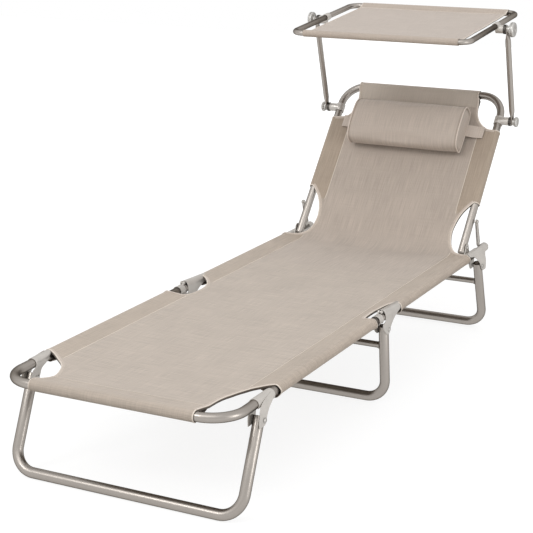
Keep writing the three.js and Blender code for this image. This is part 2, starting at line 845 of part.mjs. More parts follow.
// A clamp round a tube that runs along Y, with a boss out to the arm's eye.
function clamp(tubeX, tubeRadius, tubeRise) {
  const outer = tubeRadius + fitGap + clampWall;
  const from = -clampLength * half;
  const band = rodY(outer, from, -from, tubeX, tubeRise);
  const boss = rodX(bossRadius, tubeX, eyeInner - fitGap, 0, 0, tubeSides);
  const bore = rodY(tubeRadius + fitGap, from * 2, -from * 2, tubeX, tubeRise);
  const mouth = eyeInner - fitGap;
  const hole = rodX(boltRadius + fitGap, mouth - boltGrip, mouth + boltGrip, 0, 0);
  return cut(join(band, boss), bore, hole);
}

function bolt(knobThickness) {
  const start = eyeInner - boltGrip + fitGap;
  return rodX(boltRadius, start, eyeOuter + knobThickness * half, 0, 0);
}

// A clamping knob: hub against the arm's eye, then a thick rounded disc.
function knob(radius, thickness) {
  const start = eyeOuter + fitGap;
  const hub = thickness * knobHubShare;
  const depth = thickness * half + fitGap;
  const bore = boltRadius + fitGap;
  const profile = [
    [0, depth], [bore, depth], [bore, 0], [knobHubRadius, 0], [knobHubRadius, hub],
    [radius - knobEdge, hub], [radius, hub + knobEdge], [radius, thickness - knobEdge],
    [radius - knobEdge, thickness], [0, thickness],
  ];
  const points = profile.map((p) => new THREE.Vector2(...p));
  return new THREE.LatheGeometry(points, knobSides).rotateZ(-quarterTurn).translate(start, 0, 0);
}

// An arm stands straight up here from its lower pivot at the origin.
function canopyArm() {
  const body = alongZ(circleShape(armRadius, tubeSides), eyeNeck, armLength - eyeNeck);
  const tube = body.translate(armX, 0, 0);
  const eyes = [0, armLength].map((z) => {
    const root = z ? armLength - eyeNeck * 2 : eyeNeck * 2;
    const facing = z ? 0 : Math.PI;
    const points = [
      ...arcPoints(0, z, eyeRadius, facing, facing + Math.PI),
      [z ? -armRadius * half : armRadius * half, root],
      [z ? armRadius * half : -armRadius * half, root],
    ];
    return alongX(outline(points), eyeInner, eyeOuter);
  });
  const reach = eyeThickness;
  const holes = [0, armLength].map((z) => (
    rodX(boltRadius + fitGap, eyeInner - reach, eyeOuter + reach, 0, z)));
  return cut(join(tube, ...eyes), ...holes);
}

// Assembly
function place(parent, name, geometry, material, y = 0, z = 0) {
  const mesh = new THREE.Mesh(welded(geometry), material);
  mesh.name = name;
  mesh.position.set(0, y, z);
  parent.add(mesh);
  return mesh;
}

function placePair(parent, name, geometry, material, y = 0, z = 0) {
  place(parent, `${name}_left`, mirrored(geometry), material, y, z);
  place(parent, `${name}_right`, geometry, material, y, z);
}

function turned(parent, degrees, y, z) {
  const group = new THREE.Group();
  group.position.set(0, y, z);
  group.rotation.x = THREE.MathUtils.degToRad(degrees);
  parent.add(group);
  return group;
}

function addLeg(parent, name, spacing, lean, y, crossbarDrop) {
  const group = turned(parent, -lean, y, legPivotHeight);
  place(group, `${name}_leg`, leg(spacing, lean), tubeFinish);
  if (crossbarDrop) {
    place(group, `${name}_leg_crossbar`, legCrossbar(spacing, crossbarDrop), tubeFinish);
  }
  placePair(parent, `${name}_leg_rivet`, legRivet(spacing), rivetFinish, y, legPivotHeight);
}

function addFootSection(parent) {
  place(parent, 'foot_frame', footFrame(), tubeFinish);
  placePair(parent, 'front_leg_bracket', frontBracket(), plateFinish);
  addLeg(parent, 'front', frontLegSpacing, frontLegAngle, frontLegPlace, 0);
  placePair(parent, 'foot_hinge_ear', footKnuckle(), plateFinish);
  place(parent, 'foot_sling', footSling(), slingFinish);
}

function addSeatSection(parent) {
  placePair(parent, 'seat_rail', seatRail(), tubeFinish);
  placePair(parent, 'rail_end_plug', railPlug(), plateFinish);
  placePair(parent, 'mid_leg_bracket', midBracket(), plateFinish);
  placePair(parent, 'rear_bracket', rearBracket(), plateFinish);
  const pin = midHingePin().translate(railX, 0, 0);
  placePair(parent, 'mid_hinge_pin', pin, rivetFinish, footLength, midHingeHeight);
  addLeg(parent, 'mid', railSpacing, midLegAngle, midLegPlace, midCrossbarDrop);
  addLeg(parent, 'rear', rearLegSpacing, rearLegAngle, rearLegPlace, rearCrossbarDrop);
  place(parent, 'seat_sling', seatSling(), slingFinish);
}

function addKnobSet(parent, name, radius, thickness) {
  placePair(parent, `${name}_bolt`, bolt(thickness), rivetFinish);
  placePair(parent, `${name}_knob`, knob(radius, thickness), knobFinish);
}

function addBackSection(parent) {
  const back = turned(parent, backAngle, seatEnd, backHingeHeight);
  place(back, 'back_frame', backFrame(), tubeFinish);
  placePair(back, 'back_hinge_pin', backHingePin(), rivetFinish);
  place(back, 'back_sling', backSling(), slingFinish);
  place(back, 'pillow_strap', pillowStrap(), slingFinish);
  place(back, 'pillow', pillow(), pillowFinish);
  placePair(back, 'strut_pin', strutPin(), rivetFinish, strutPlace);
  const support = turned(back, -strutAngle, strutPlace, 0);
  placePair(support, 'back_strut', strut(), plateFinish);
  const lower = new THREE.Group();
  lower.position.set(0, armPlace, armOffset);
  back.add(lower);
  const lowerClamp = clamp(backX, railRadius, -armOffset);
  placePair(lower, 'arm_clamp', lowerClamp, plateFinish);
  addKnobSet(lower, 'arm', lowerKnobRadius, lowerKnobThickness);
  addCanopy(lower);
}

// The arms and the canopy take their angles from the floor, so the back's angle comes off.
function addCanopy(parent) {
  const arms = turned(parent, armLean - backAngle, 0, 0);
  placePair(arms, 'canopy_arm', canopyArm(), tubeFinish);
  const canopy = turned(arms, canopyTilt - armLean, 0, armLength);
  place(canopy, 'canopy_front_tube', canopyTube(-canopyFront), tubeFinish);
  place(canopy, 'canopy_rear_tube', canopyTube(canopyRear), tubeFinish);
  place(canopy, 'canopy_cover', canopyCover(), canopyFinish);
  placePair(canopy, 'canopy_clamp', clamp(canopyX, canopyTubeRadius, canopyRise), plateFinish);
  addKnobSet(canopy, 'canopy', upperKnobRadius, upperKnobThickness);
}

// The far edge of the canopy, used to centre the lounger along Y.
function canopyRearEdge() {
  const lean = THREE.MathUtils.degToRad(armLean);
  const tilt = THREE.MathUtils.degToRad(canopyTilt);
  const pivot = seatEnd + armPlace * Math.cos(backTurn) - armOffset * Math.sin(backTurn)
    - armLength * Math.sin(lean);
  const sleeve = canopyTubeRadius + canopySleeveRoom + canopyCloth;
  return pivot + canopyRear * Math.cos(tilt) - canopyRise * Math.sin(tilt) + sleeve;
}

const lounger = new THREE.Group();
lounger.position.y = -(canopyRearEdge() - sleeveRadius) * half;
addFootSection(lounger);
addSeatSection(lounger);
addBackSection(lounger);
lounger.updateMatrixWorld(true);

export default lounger;
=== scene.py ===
import bpy
import bmesh
import math
from mathutils import Matrix, Vector, noise
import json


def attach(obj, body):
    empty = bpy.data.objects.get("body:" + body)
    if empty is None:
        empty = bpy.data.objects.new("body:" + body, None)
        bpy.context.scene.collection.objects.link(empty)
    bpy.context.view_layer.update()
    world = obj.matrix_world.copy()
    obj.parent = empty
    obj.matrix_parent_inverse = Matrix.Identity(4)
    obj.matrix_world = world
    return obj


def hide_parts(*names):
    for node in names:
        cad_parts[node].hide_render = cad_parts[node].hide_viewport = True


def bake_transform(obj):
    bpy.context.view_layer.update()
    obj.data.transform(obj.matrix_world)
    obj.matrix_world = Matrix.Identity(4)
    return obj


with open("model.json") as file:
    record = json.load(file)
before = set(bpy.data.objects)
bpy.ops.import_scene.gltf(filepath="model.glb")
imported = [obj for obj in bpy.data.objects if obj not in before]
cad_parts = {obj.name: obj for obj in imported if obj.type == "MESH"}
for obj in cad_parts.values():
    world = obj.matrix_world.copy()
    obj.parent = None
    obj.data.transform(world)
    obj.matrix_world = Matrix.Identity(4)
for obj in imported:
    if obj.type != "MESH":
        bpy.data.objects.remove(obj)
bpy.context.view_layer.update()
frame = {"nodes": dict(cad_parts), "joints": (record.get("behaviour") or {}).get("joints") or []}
print("frame loaded")

unit = 0.001  # the dictionaries are in millimetres
hinges = {joint["name"]: Vector(joint["pos_m"]) for joint in frame["joints"]}

# sizes that more than one piece uses; places run from the foot rail to the head
rail = {"x": 281, "height": 239, "radius": 11, "bend": 72, "hingeAt": 780, "backHingeAt": 1439, "end": 1492}
back = {"x": 256.5, "length": 505, "bend": 68, "tail": 18, "angle": 49.5}
canopy = {"x": 266, "front": 234, "rear": 191, "rise": 8.3, "bend": 30, "radius": 8, "tilt": 5.5}
arm = {"x": 299, "length": 290, "lean": 16.8, "radius": 8}

# spaces: plan (level, from the foot rail), back, arms and canopy, each with its hinge as origin
plan = Matrix.Translation((0, hinges["foot_fold"].y - rail["hingeAt"] * unit, 0))
backSpace = Matrix.Translation(hinges["back_recline"]) @ Matrix.Rotation(math.radians(back["angle"]), 4, "X")
armSpace = Matrix.Translation(hinges["arm_tilt"]) @ Matrix.Rotation(math.radians(arm["lean"]), 4, "X")
canopySpace = Matrix.Translation(hinges["canopy_tilt"]) @ Matrix.Rotation(math.radians(canopy["tilt"]), 4, "X")


def at(space, x, y, z):
    return space @ (Vector((x, y, z)) * unit)


# node groups


def feed(tree, socket, value):
    # a node gives its first output, a pair of node and output that one; anything else is a plain value
    source = value if isinstance(value, tuple) else (value, 0)
    if isinstance(source[0], bpy.types.Node):
        tree.links.new(source[0].outputs[source[1]], socket)
    else:
        socket.default_value = value


def addNode(tree, kind, inputs=None, **values):
    node = tree.nodes.new(kind)
    for key, value in values.items():
        setattr(node, key, value)
    for key, value in (inputs or {}).items():
        feed(tree, node.inputs[key], value)
    return node


def mathNode(tree, operation, *values):
    return addNode(tree, "ShaderNodeMath", dict(enumerate(values)), operation=operation)


def sums(tree):
    return [lambda *values, kind=kind: mathNode(tree, kind, *values) for kind in ("ADD", "SUBTRACT", "MULTIPLY")]


def newGroup(name, inputs):
    # a vector and the given values go in; colour, roughness and height come out
    tree = bpy.data.node_groups.new(name, "ShaderNodeTree")
    sockets = [("Vector", "INPUT", "Vector")]
    sockets += [(label, "INPUT", "Color" if isinstance(value, tuple) else "Float") for label, value in inputs.items()]
    sockets += [("Color", "OUTPUT", "Color"), ("Roughness", "OUTPUT", "Float"), ("Height", "OUTPUT", "Float")]
    for label, way, kind in sockets:
        socket = tree.interface.new_socket(label, in_out=way, socket_type="NodeSocket" + kind)
        if label in inputs:
            socket.default_value = inputs[label]
    return tree, addNode(tree, "NodeGroupInput")


def endGroup(tree, start, tone, rough, height):
    paint = addNode(tree, "ShaderNodeVectorMath", {0: (start, "Base"), "Scale": tone}, operation="SCALE")
    addNode(tree, "NodeGroupOutput", {0: paint, 1: rough, 2: height})
    return tree


def wovenGroup():
    # slubs run along the length and across, over a plain weave; the vector is the cloth's own map in metres
    slubs = {"Lengthwise": (420, 14, 1), "Crosswise": (12, 420, 1), "Blotches": (9, 9, 1)}
    details = {"Lengthwise": 3, "Crosswise": 3, "Blotches": 2}
    weaveDepth = {"tone": 0.03, "rough": 0.04, "slubs": 1.4}
    tree, start = newGroup("wovenCloth", {"Base": (0.5, 0.45, 0.4, 1), "Lengthwise": 0.2, "Crosswise": 0.2,
                                          "Blotches": 0.1, "Thread": 1300})
    add, less, times = sums(tree)
    total, waves = None, []
    for label, scale in slubs.items():
        mapping = addNode(tree, "ShaderNodeMapping", {"Vector": start, "Scale": scale})
        grain = addNode(tree, "ShaderNodeTexNoise", {"Vector": mapping, "Scale": 1, "Detail": details[label]})
        scaled = times(less(grain, 0.5), (start, label))
        total = add(total, scaled) if total else scaled
    split = addNode(tree, "ShaderNodeSeparateXYZ", {0: start})
    for axis in (0, 1):
        turns = times((split, axis), (start, "Thread"))
        waves.append(mathNode(tree, "SINE", times(turns, math.tau)))
    weave = times(*waves)
    tone = add(add(total, 1), times(weave, weaveDepth["tone"]))
    rough = add(times(weave, weaveDepth["rough"]), 0.82)
    return endGroup(tree, start, tone, rough, add(times(total, weaveDepth["slubs"]), weave))


def grainGroup():
    # satin metal: fine speckle, slow tone changes and a few scuffs, from Object coordinates
    tree, start = newGroup("satinGrain", {"Base": (0.4, 0.37, 0.34, 1), "Polish": 0.32, "Mottle": 0.12, "Scuffs": 0.2,
                                          "Grain Scale": 900})
    add, less, times = sums(tree)
    scales = (((start, "Grain Scale"), 2), (22, 4), (130, 5))
    fine, slow, scuff = (addNode(tree, "ShaderNodeTexNoise", {"Vector": start, "Scale": scale, "Detail": detail})
                         for scale, detail in scales)
    marks = addNode(tree, "ShaderNodeMapRange", {0: scuff, "From Min": 0.64, "From Max": 0.72})
    worn = times(marks, (start, "Scuffs"))
    slowTone = times(less(slow, 0.5), (start, "Mottle"))
    fineTone = times(less(fine, 0.5), 0.08)
    tone = add(add(add(slowTone, fineTone), 1), times(worn, 0.25))
    rough = add(add(times(worn, 0.18), slowTone), (start, "Polish"))
    return endGroup(tree, start, tone, rough, fine)


weaveNodes = wovenGroup()
grainNodes = grainGroup()


def startMaterial(name):
    material = bpy.data.materials.new(name)
    material.use_nodes = True
    return material, material.node_tree, material.node_tree.nodes["Principled BSDF"]


def feedShader(tree, shader, paint, group, strength, distance, values):
    bump = addNode(tree, "ShaderNodeBump", {"Strength": strength, "Distance": distance, "Height": (group, "Height")})
    inputs = {"Base Color": paint, "Roughness": (group, "Roughness"), "Normal": bump}
    for label, value in (inputs | values).items():
        feed(tree, shader.inputs[label], value)


def metalMaterial(name, base, polish, mottle=0.12, scuffs=0.15, grainScale=900, edge=0.16, metallic=1.0):
    material, tree, shader = startMaterial(name)
    place = addNode(tree, "ShaderNodeTexCoord")
    looks = {"Vector": (place, "Object"), "Base": (*base, 1), "Polish": polish, "Mottle": mottle, "Scuffs": scuffs,
             "Grain Scale": grainScale}
    grain = addNode(tree, "ShaderNodeGroup", looks, node_tree=grainNodes)
    edges = (edge, edge * 0.96, edge * 0.9, 1)
    feedShader(tree, shader, grain, grain, 0.12, 0.00006, {"Metallic": metallic, "Specular Tint": edges})
    return material


def clothMaterial(name, base, lengthwise, crosswise, blotches=0.12, thread=1300, tints=()):
    material, tree, shader = startMaterial(name)
    place = addNode(tree, "ShaderNodeUVMap", uv_map="cloth")
    looks = {"Vector": place, "Base": (*base, 1), "Lengthwise": lengthwise, "Crosswise": crosswise,
             "Blotches": blotches, "Thread": thread}
    paint = weave = addNode(tree, "ShaderNodeGroup", looks, node_tree=weaveNodes)
    for attribute, tint, blend in tints:  # a point attribute says where the tint lies
        mask = addNode(tree, "ShaderNodeAttribute", attribute_name=attribute)
        mixed = {0: (mask, "Fac"), 6: paint, 7: (*tint, 1)}
        paint = addNode(tree, "ShaderNodeMix", mixed, data_type="RGBA", blend_type=blend), 2
    feedShader(tree, shader, paint, weave, 0.35, 0.00025, {"Sheen Weight": 0.12, "Sheen Roughness": 0.6})
    return material


# where the cloth lies double it is darker, partly for the double layer and partly as painted shade; seams show a pale
# ridge, the head wrap is lifted with painted light, the tilted back gets painted shade, and turned edges get a painted
# highlight on the lip and painted shade inside
slingTints = (("doubled", (0.94, 0.92, 0.89), "MULTIPLY"), ("ridge", (0.76, 0.69, 0.60), "MIX"))
# the back's first tint is painted shade, darker where the back is tilted up
backTints = (("upright", (0.91, 0.9, 0.895), "MULTIPLY"), ("doubled", (0.88, 0.84, 0.77), "MULTIPLY"),
             ("ridge", (0.72, 0.65, 0.56), "MIX"))
# bindings: a painted highlight on the rounded lip, painted shade on the outer face and underside
edgeTints = (("lip", (0.70, 0.62, 0.54), "MIX"), ("inside", (0.075, 0.055, 0.04), "MIX"))
# the pillow's tint is painted shade in the grooves by its end seams
pillowTints = (("groove", (0.55, 0.50, 0.44), "MULTIPLY"),)
tubeMetal = metalMaterial("satinTube", (0.385, 0.353, 0.322), 0.34, edge=0.06)
plateMetal = metalMaterial("pressedPlate", (0.57, 0.54, 0.505), 0.36, mottle=0.42, scuffs=0.5,
                           grainScale=500, edge=0.4, metallic=0.5)
rivetMetal = metalMaterial("rivetSteel", (0.48, 0.46, 0.43), 0.32, grainScale=700)
knobMetal = metalMaterial("castKnob", (0.56, 0.545, 0.52), 0.38, mottle=0.25, scuffs=0.3, grainScale=600,
                          metallic=0.7)
collarMetal = metalMaterial("darkCollar", (0.13, 0.12, 0.11), 0.45, mottle=0.2, scuffs=0.4)
slingCloth = clothMaterial("slingCloth", (0.464, 0.398, 0.339), 0.42, 0.58, 0.18, tints=slingTints)
backCloth = clothMaterial("backCloth", (0.462, 0.395, 0.339), 0.56, 0.17, 0.22, tints=backTints)
pillowCloth = clothMaterial("pillowCloth", (0.487, 0.416, 0.359), 0.5, 0.14, tints=pillowTints)
pipingCloth = clothMaterial("pipingCloth", (0.64, 0.555, 0.485), 0.2, 0.2, thread=900)
canopyCloth = clothMaterial("canopyCloth", (0.49, 0.422, 0.368), 0.25, 0.4, tints=slingTints)
strapCloth = clothMaterial("strapCloth", (0.55, 0.475, 0.415), 0.3, 0.4)
hemCloth = clothMaterial("hemBinding", (0.52, 0.445, 0.38), 0.3, 0.3, thread=900, tints=edgeTints)
threadCloth = clothMaterial("sewingThread", (0.68, 0.61, 0.53), 0.1, 0.1, thread=2500)
print("materials made")

# modelling helpers


def deselect():
    if bpy.context.object and bpy.context.object.mode != "OBJECT":
        bpy.ops.object.mode_set(mode="OBJECT")
    bpy.ops.object.select_all(action="DESELECT")


def activate(obj):
    deselect()
    obj.select_set(True)
    bpy.context.view_layer.objects.active = obj


def linked(name, data):
    obj = bpy.data.objects.new(name, data)
    bpy.context.scene.collection.objects.link(obj)
    return obj


def openEdit(obj, choice="SELECT"):
    activate(obj)
    bpy.ops.object.mode_set(mode="EDIT")
    bpy.ops.mesh.select_all(action=choice)


def closeEdit(weld=0.000002):
    bpy.ops.mesh.select_all(action="SELECT")
    if weld:
        bpy.ops.mesh.remove_doubles(threshold=weld)
    bpy.ops.mesh.normals_make_consistent(inside=False)
    bpy.ops.object.mode_set(mode="OBJECT")


def startDisc(name, radius, sides, place, direction):
    deselect()
    bpy.ops.mesh.primitive_circle_add(vertices=sides, radius=radius, fill_type="NGON", location=place,
                                      rotation=direction.to_track_quat("Z", "Y").to_euler())
    obj = bpy.context.object
    obj.name = obj.data.name = name
    bpy.ops.object.transform_apply(location=True, rotation=True, scale=True)
    openEdit(obj)
    return obj


def push(step):
    bpy.ops.mesh.extrude_region_move(TRANSFORM_OT_translate={"value": step})


def applyModifier(obj, kind, **values):
    activate(obj)
    modifier = obj.modifiers.new(kind.title(), kind)
    for key, value in values.items():
        setattr(modifier, key, value)
    bpy.ops.object.modifier_apply(modifier=modifier.name)


def roundEdges(obj, width, angle=40):
    applyModifier(obj, "BEVEL", width=width * unit, segments=2, limit_method="ANGLE",
                  angle_limit=math.radians(angle), use_clamp_overlap=True)


def smooth(obj, angle):
    activate(obj)
    bpy.ops.object.shade_smooth_by_angle(angle=math.radians(angle))


def wear(obj, material, slotName, *nodes):
    obj.data.materials.clear()
    obj.data.materials.append(material)
    if nodes:
        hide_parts(*nodes)


def finish(obj, angle, material, slotName, body, *nodes):
    smooth(obj, angle)
    wear(obj, material, slotName, *nodes)
    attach(obj, body)


def bentTube(name, space, corners, bendRadius, radius, sides=32, bendSteps=12):
    # a disc is pushed along each straight run and spun round each bend
    points = [at(space, *corner) for corner in corners]
    heading = (points[1] - points[0]).normalized()
    obj = startDisc(name, radius * unit, sides, points[0], heading)
    here = points[0]
    for before, corner, after in zip(points, points[1:], points[2:]):
        into, out = (corner - before).normalized(), (after - corner).normalized()
        turn = into.angle(out)
        axis = into.cross(out).normalized()
        reach = bendRadius * unit * math.tan(turn / 2)
        push(corner - into * reach - here)
        centre = corner - into * reach + axis.cross(into) * bendRadius * unit
        bpy.ops.mesh.spin(steps=bendSteps, dupli=False, angle=-turn, center=centre, axis=axis)
        here = corner + out * reach
    push(points[-1] - here)
    closeEdit()
    return obj


def turned(name, place, direction, profile, sides=32):
    # a disc pushed along its axis and scaled at each step of the profile: (along, radius)
    direction = direction.normalized()
    (along, radius), rest = profile[0], profile[1:]
    obj = startDisc(name, radius * unit, sides, place + direction * along * unit, direction)
    for nextAlong, nextRadius in rest:
        push(direction * (nextAlong - along) * unit)
        share = nextRadius / radius
        bpy.ops.transform.resize(value=(share, share, share), center_override=place + direction * nextAlong * unit)
        along, radius = nextAlong, nextRadius
    closeEdit()
    return obj


def mirroredCopy(obj, name):
    mesh = obj.data.copy()
    mesh.transform(Matrix.Scale(-1, 4, (1, 0, 0)))
    mesh.flip_normals()
    return linked(name, mesh)


def cadCopy(node, name, bevel):
    # the CAD solid's own shape, welded, with its pressed edges rounded
    obj = linked(name, frame["nodes"][node].data.copy())
    activate(obj)
    bpy.ops.mesh.customdata_custom_splitnormals_clear()
    openEdit(obj)
    bpy.ops.mesh.remove_doubles(threshold=0.00001)
    bpy.ops.mesh.dissolve_limited(angle_limit=math.radians(2))
    closeEdit(0)
    roundEdges(obj, bevel, 30)
    return obj


def joined(name, *parts):
    activate(parts[0])
    for part in parts:
        part.select_set(True)
    bpy.ops.object.join()
    parts[0].name = parts[0].data.name = name
    return parts[0]


def meshPiece(name, vertices, faces):
    mesh = bpy.data.meshes.new(name)
    mesh.from_pydata([tuple(v) for v in vertices], [], faces)
    mesh.update()
    return linked(name, mesh)


def shellFaces(rows, columns, start=0, flip=False, tube=False, ring=False):
    # quads between rows of vertices; a tube's rows close on themselves and its ends are capped, a ring has no ends
    faces = []
    for row in range(rows - (not ring)):
        up = ((row + 1) % rows - row) * columns
        for column in range(columns - (not tube)):
            a, b = (start + row * columns + c % columns for c in (column, column + 1))
            faces.append((a, a + up, b + up, b) if flip else (a, b, b + up, a + up))
    if tube and not ring:
        first, last = ([start + row * columns + c for c in range(columns)] for row in (0, rows - 1))
        faces += [first, last[::-1]] if flip else [first[::-1], last]
    return faces


def circleSpots(centre, across, up, radius, sides):
    angles = [math.tau * k / sides for k in range(sides)]
    return [centre + (across * math.cos(angle) + up * math.sin(angle)) * radius for angle in angles]


def mapCloth(obj, spots=None):
    # the cloth's own map in metres; a narrow piece takes its places in the scene
    layer = obj.data.uv_layers.new(name="cloth")
    if not spots:
        spots = [(v.co.x + v.co.z, v.co.y) for v in obj.data.vertices]
    for loop in obj.data.loops:
        layer.data[loop.index].uv = spots[loop.vertex_index]


def markPoints(obj, **marks):
    for label, values in marks.items():
        obj.data.attributes.new(label, "FLOAT", "POINT").data.foreach_set("value", values)


def measured(obj):
    # the cloth's area, and each vertex's place and normal for bindings and stitches, before it gets its thickness
    spots = [(v.co.copy(), v.normal.copy()) for v in obj.data.vertices]
    return sum(face.area for face in obj.data.polygons), spots


def softLine(points, steps=10):
    # a smooth line through the points
    line = []
    for i in range(len(points) - 1):
        p0, p1, p2, p3 = (Vector(points[min(max(k, 0), len(points) - 1)]) for k in (i - 1, i, i + 1, i + 2))
        for step in range(steps):
            t = step / steps
            line.append(0.5 * ((2 * p1) + (p2 - p0) * t + (2 * p0 - 5 * p1 + 4 * p2 - p3) * t * t
                               + (3 * p1 - p0 - 3 * p2 + p3) * t ** 3))
    line.append(Vector(points[-1]))
    return line


# frame tubes


def finishTube(obj, body, *nodes):
    roundEdges(obj, 1.0, 60)
    finish(obj, 40, tubeMetal, "frame_tube", body, *nodes)


def hoop(name, space, x, ends, middle, bend, radius, steps, body, node):
    # a tube bent twice into a U; ends and middle are places in the side view
    corners = [(-x, *ends), (-x, *middle), (x, *middle), (x, *ends)]
    finishTube(bentTube(name, space, corners, bend, radius, bendSteps=steps), body, node)


railZ, railRadius, hingeGap = rail["height"], rail["radius"], 0.5
plugProfile = [(1536.3, 10.8), (1556, 10.8), (1558.5, 10), (1560.5, 8), (1561.6, 5), (1562, 1)]
hoop("footTube", plan, rail["x"], (rail["hingeAt"] - hingeGap, railZ), (0, railZ), rail["bend"], railRadius, 18,
     "foot_section", "foot_frame")
for side, sign in (("left", -1), ("right", 1)):
    x = sign * rail["x"]
    ends = [(x, rail["hingeAt"] + hingeGap, railZ), (x, rail["end"], railZ)]
    finishTube(bentTube("seatTube_" + side, plan, ends, 0, railRadius), "seat", "seat_rail_" + side)
    plug = turned("railPlug_" + side, at(plan, x, 0, railZ), Vector((0, 1, 0)), plugProfile)
    finish(plug, 35, plateMetal, "bracket", "seat", "rail_end_plug_" + side)
hoop("backTube", backSpace, back["x"], (-back["tail"], 0), (back["length"], 0), back["bend"], railRadius, 18, "back",
     "back_frame")

legs = {
    "front": {"x": 288, "lean": 23.5, "crossbar": None},
    "mid": {"x": 281, "lean": -6.2, "crossbar": 46},
    "rear": {"x": 291, "lean": -19, "crossbar": 56},
}
legTube = {"radius": 12.5, "bend": 52, "tail": 8, "crossbarRadius": 8}
for name, leg in legs.items():
    hinge = hinges[name + "_leg_fold"]
    space = Matrix.Translation((0, hinge.y, hinge.z)) @ Matrix.Rotation(math.radians(-leg["lean"]), 4, "X")
    x, radius, body = leg["x"], legTube["radius"], name + "_leg"
    length = (hinge.z / unit - radius) / math.cos(math.radians(leg["lean"]))
    hoop(name + "LegTube", space, x, (0, legTube["tail"]), (0, -length), legTube["bend"], radius, 14, body, body)
    if leg["crossbar"]:  # the ends flare a little where they are welded on
        reach, thin = x - radius + 2, legTube["crossbarRadius"]
        flare = [(0, 2.2), (3.4, 1.5), (5, 0.6), (6.5, 0)]
        profile = [(a - reach, thin + b) for a, b in flare] + [(reach - a, thin + b) for a, b in reversed(flare)]
        bar = turned(name + "Crossbar", at(space, 0, 0, -leg["crossbar"]), Vector((1, 0, 0)), profile)
        finishTube(bar, body, body + "_crossbar")
for name, reach in (("Front", -canopy["front"]), ("Rear", canopy["rear"])):
    ends, middle = ((along, canopy["rise"]) for along in (math.copysign(hingeGap, reach), reach))
    hoop("canopy" + name + "Hoop", canopySpace, canopy["x"], ends, middle, canopy["bend"], canopy["radius"], 14,
         "canopy", "canopy_" + name.lower() + "_tube")
print("tubes made")

# arms, with pressed flat ends


def canopyArm():
    up, along = ((armSpace.to_3x3() @ Vector(way)).normalized() for way in ((0, 0, 1), (0, 1, 0)))
    base = at(armSpace, arm["x"], 0, 0)
    # along the arm: (height, half width, half thickness)
    tip = [(-10, 1.2, 1), (-9.4, 4, 2.2), (-8, 6.4, 2.5), (-5, 8.8, 2.5), (0, 10, 2.5), (8, 10, 2.5), (16, 9.7, 3),
           (24, 9, 5), (31, 8.3, 7.2), (38, 8, 8)]
    steps = tip + [(arm["length"] - h, w, t) for h, w, t in reversed(tip)]
    vertices, sides = [], 32
    for height, wide, thick in steps:
        centre = base + up * height * unit
        flat = 2.0 + 2.5 * max(0.0, 1 - thick / arm["radius"])  # squarer where it is pressed flat
        for i in range(sides):
            angle = math.tau * i / sides
            c, s = (math.copysign(abs(v) ** (2 / flat), v) for v in (math.cos(angle), math.sin(angle)))
            vertices.append(centre + along * c * wide * unit + Vector((1, 0, 0)) * s * thick * unit)
    obj = meshPiece("canopyArm_right", vertices, shellFaces(len(steps), sides, tube=True))
    openEdit(obj)
    closeEdit()
    return obj


armRight = canopyArm()
armLeft = mirroredCopy(armRight, "canopyArm_left")
for obj, side in ((armRight, "right"), (armLeft, "left")):
    finish(obj, 40, tubeMetal, "frame_tube", "canopy_arms", "canopy_arm_" + side)

# clamps on the tubes

for node, body in (("arm_clamp", "back"), ("canopy_clamp", "canopy")):
    for side in ("left", "right"):
        obj = cadCopy(node + "_" + side, node.split("_")[0] + "Clamp_" + side, 0.8)
        finish(obj, 35, plateMetal, "clamp", body, node + "_" + side)

# pressed brackets, ears and struts


def pressedPlate(name, rows, thickness=1.8, columns=20, bevel=0.5, steps=3, slot=None):
    # a grid is laid over the plate's middle surface, row by row from front point to rear point, then gets its wall
    fronts, rears = (softLine([row[k] for row in rows], steps) for k in (0, 1))
    deselect()
    bpy.ops.mesh.primitive_grid_add(x_subdivisions=columns, y_subdivisions=len(fronts) - 1, size=0.1)
    obj = bpy.context.object
    obj.name = obj.data.name = name
    openEdit(obj, "DESELECT")
    bm = bmesh.from_edit_mesh(obj.data)
    for i, vertex in enumerate(bm.verts):
        row, column = divmod(i, columns + 1)
        vertex.co = at(plan, *fronts[row].lerp(rears[row], column / columns))
    if slot:  # an opening that a strut stands in
        low, high = at(plan, *slot[0]), at(plan, *slot[1])
        for face in bm.faces:
            spot = face.calc_center_median()
            face.select_set(all(low[k] < spot[k] < high[k] for k in range(3)))
        bmesh.update_edit_mesh(obj.data)
        bpy.ops.mesh.delete(type="FACE")
    bmesh.update_edit_mesh(obj.data)
    closeEdit()
    applyModifier(obj, "SOLIDIFY", thickness=thickness * unit, offset=0, use_even_offset=True)
    roundEdges(obj, bevel, 50)
    return obj


def arch(angles, front, rear, radius=12.1, rise=(12.1, 12.1), level=239):
    # rows over the rail; front and rear give the place along at an angle, rise the height at either end
    rows = []
    for angle in angles:
        c, s = math.cos(math.radians(angle)), math.sin(math.radians(angle))
        heights = [h * s if s > 0 else radius * s for h in rise]
        rows.append([(rail["x"] + radius * c, place(angle), level + h) for place, h in zip((front, rear), heights)])
    return rows


def lug(name, x, root, eye=780):
    # a short web, lower at its root, with a round eye that the hinge pin goes through
    web = pressedPlate(name, [[(x, root, 252.8), (x, eye, 259)], [(x, root, 249.8), (x, eye, 251.2)]], 3.6, 4, 0.5, 2)
    eyeProfile = [(-1.8, 3.9), (-1.4, 4.4), (1.4, 4.4), (1.8, 3.9)]
    return joined(name, web, turned(name + "Eye", at(plan, x, eye, 255.1), Vector((1, 0, 0)), eyeProfile))


def cheekRows(table):
    # rows straight across a cheek, from (height, out, front, rear)
    return [[(x, y0, z), (x, y1, z)] for z, x, y0, y1 in table]


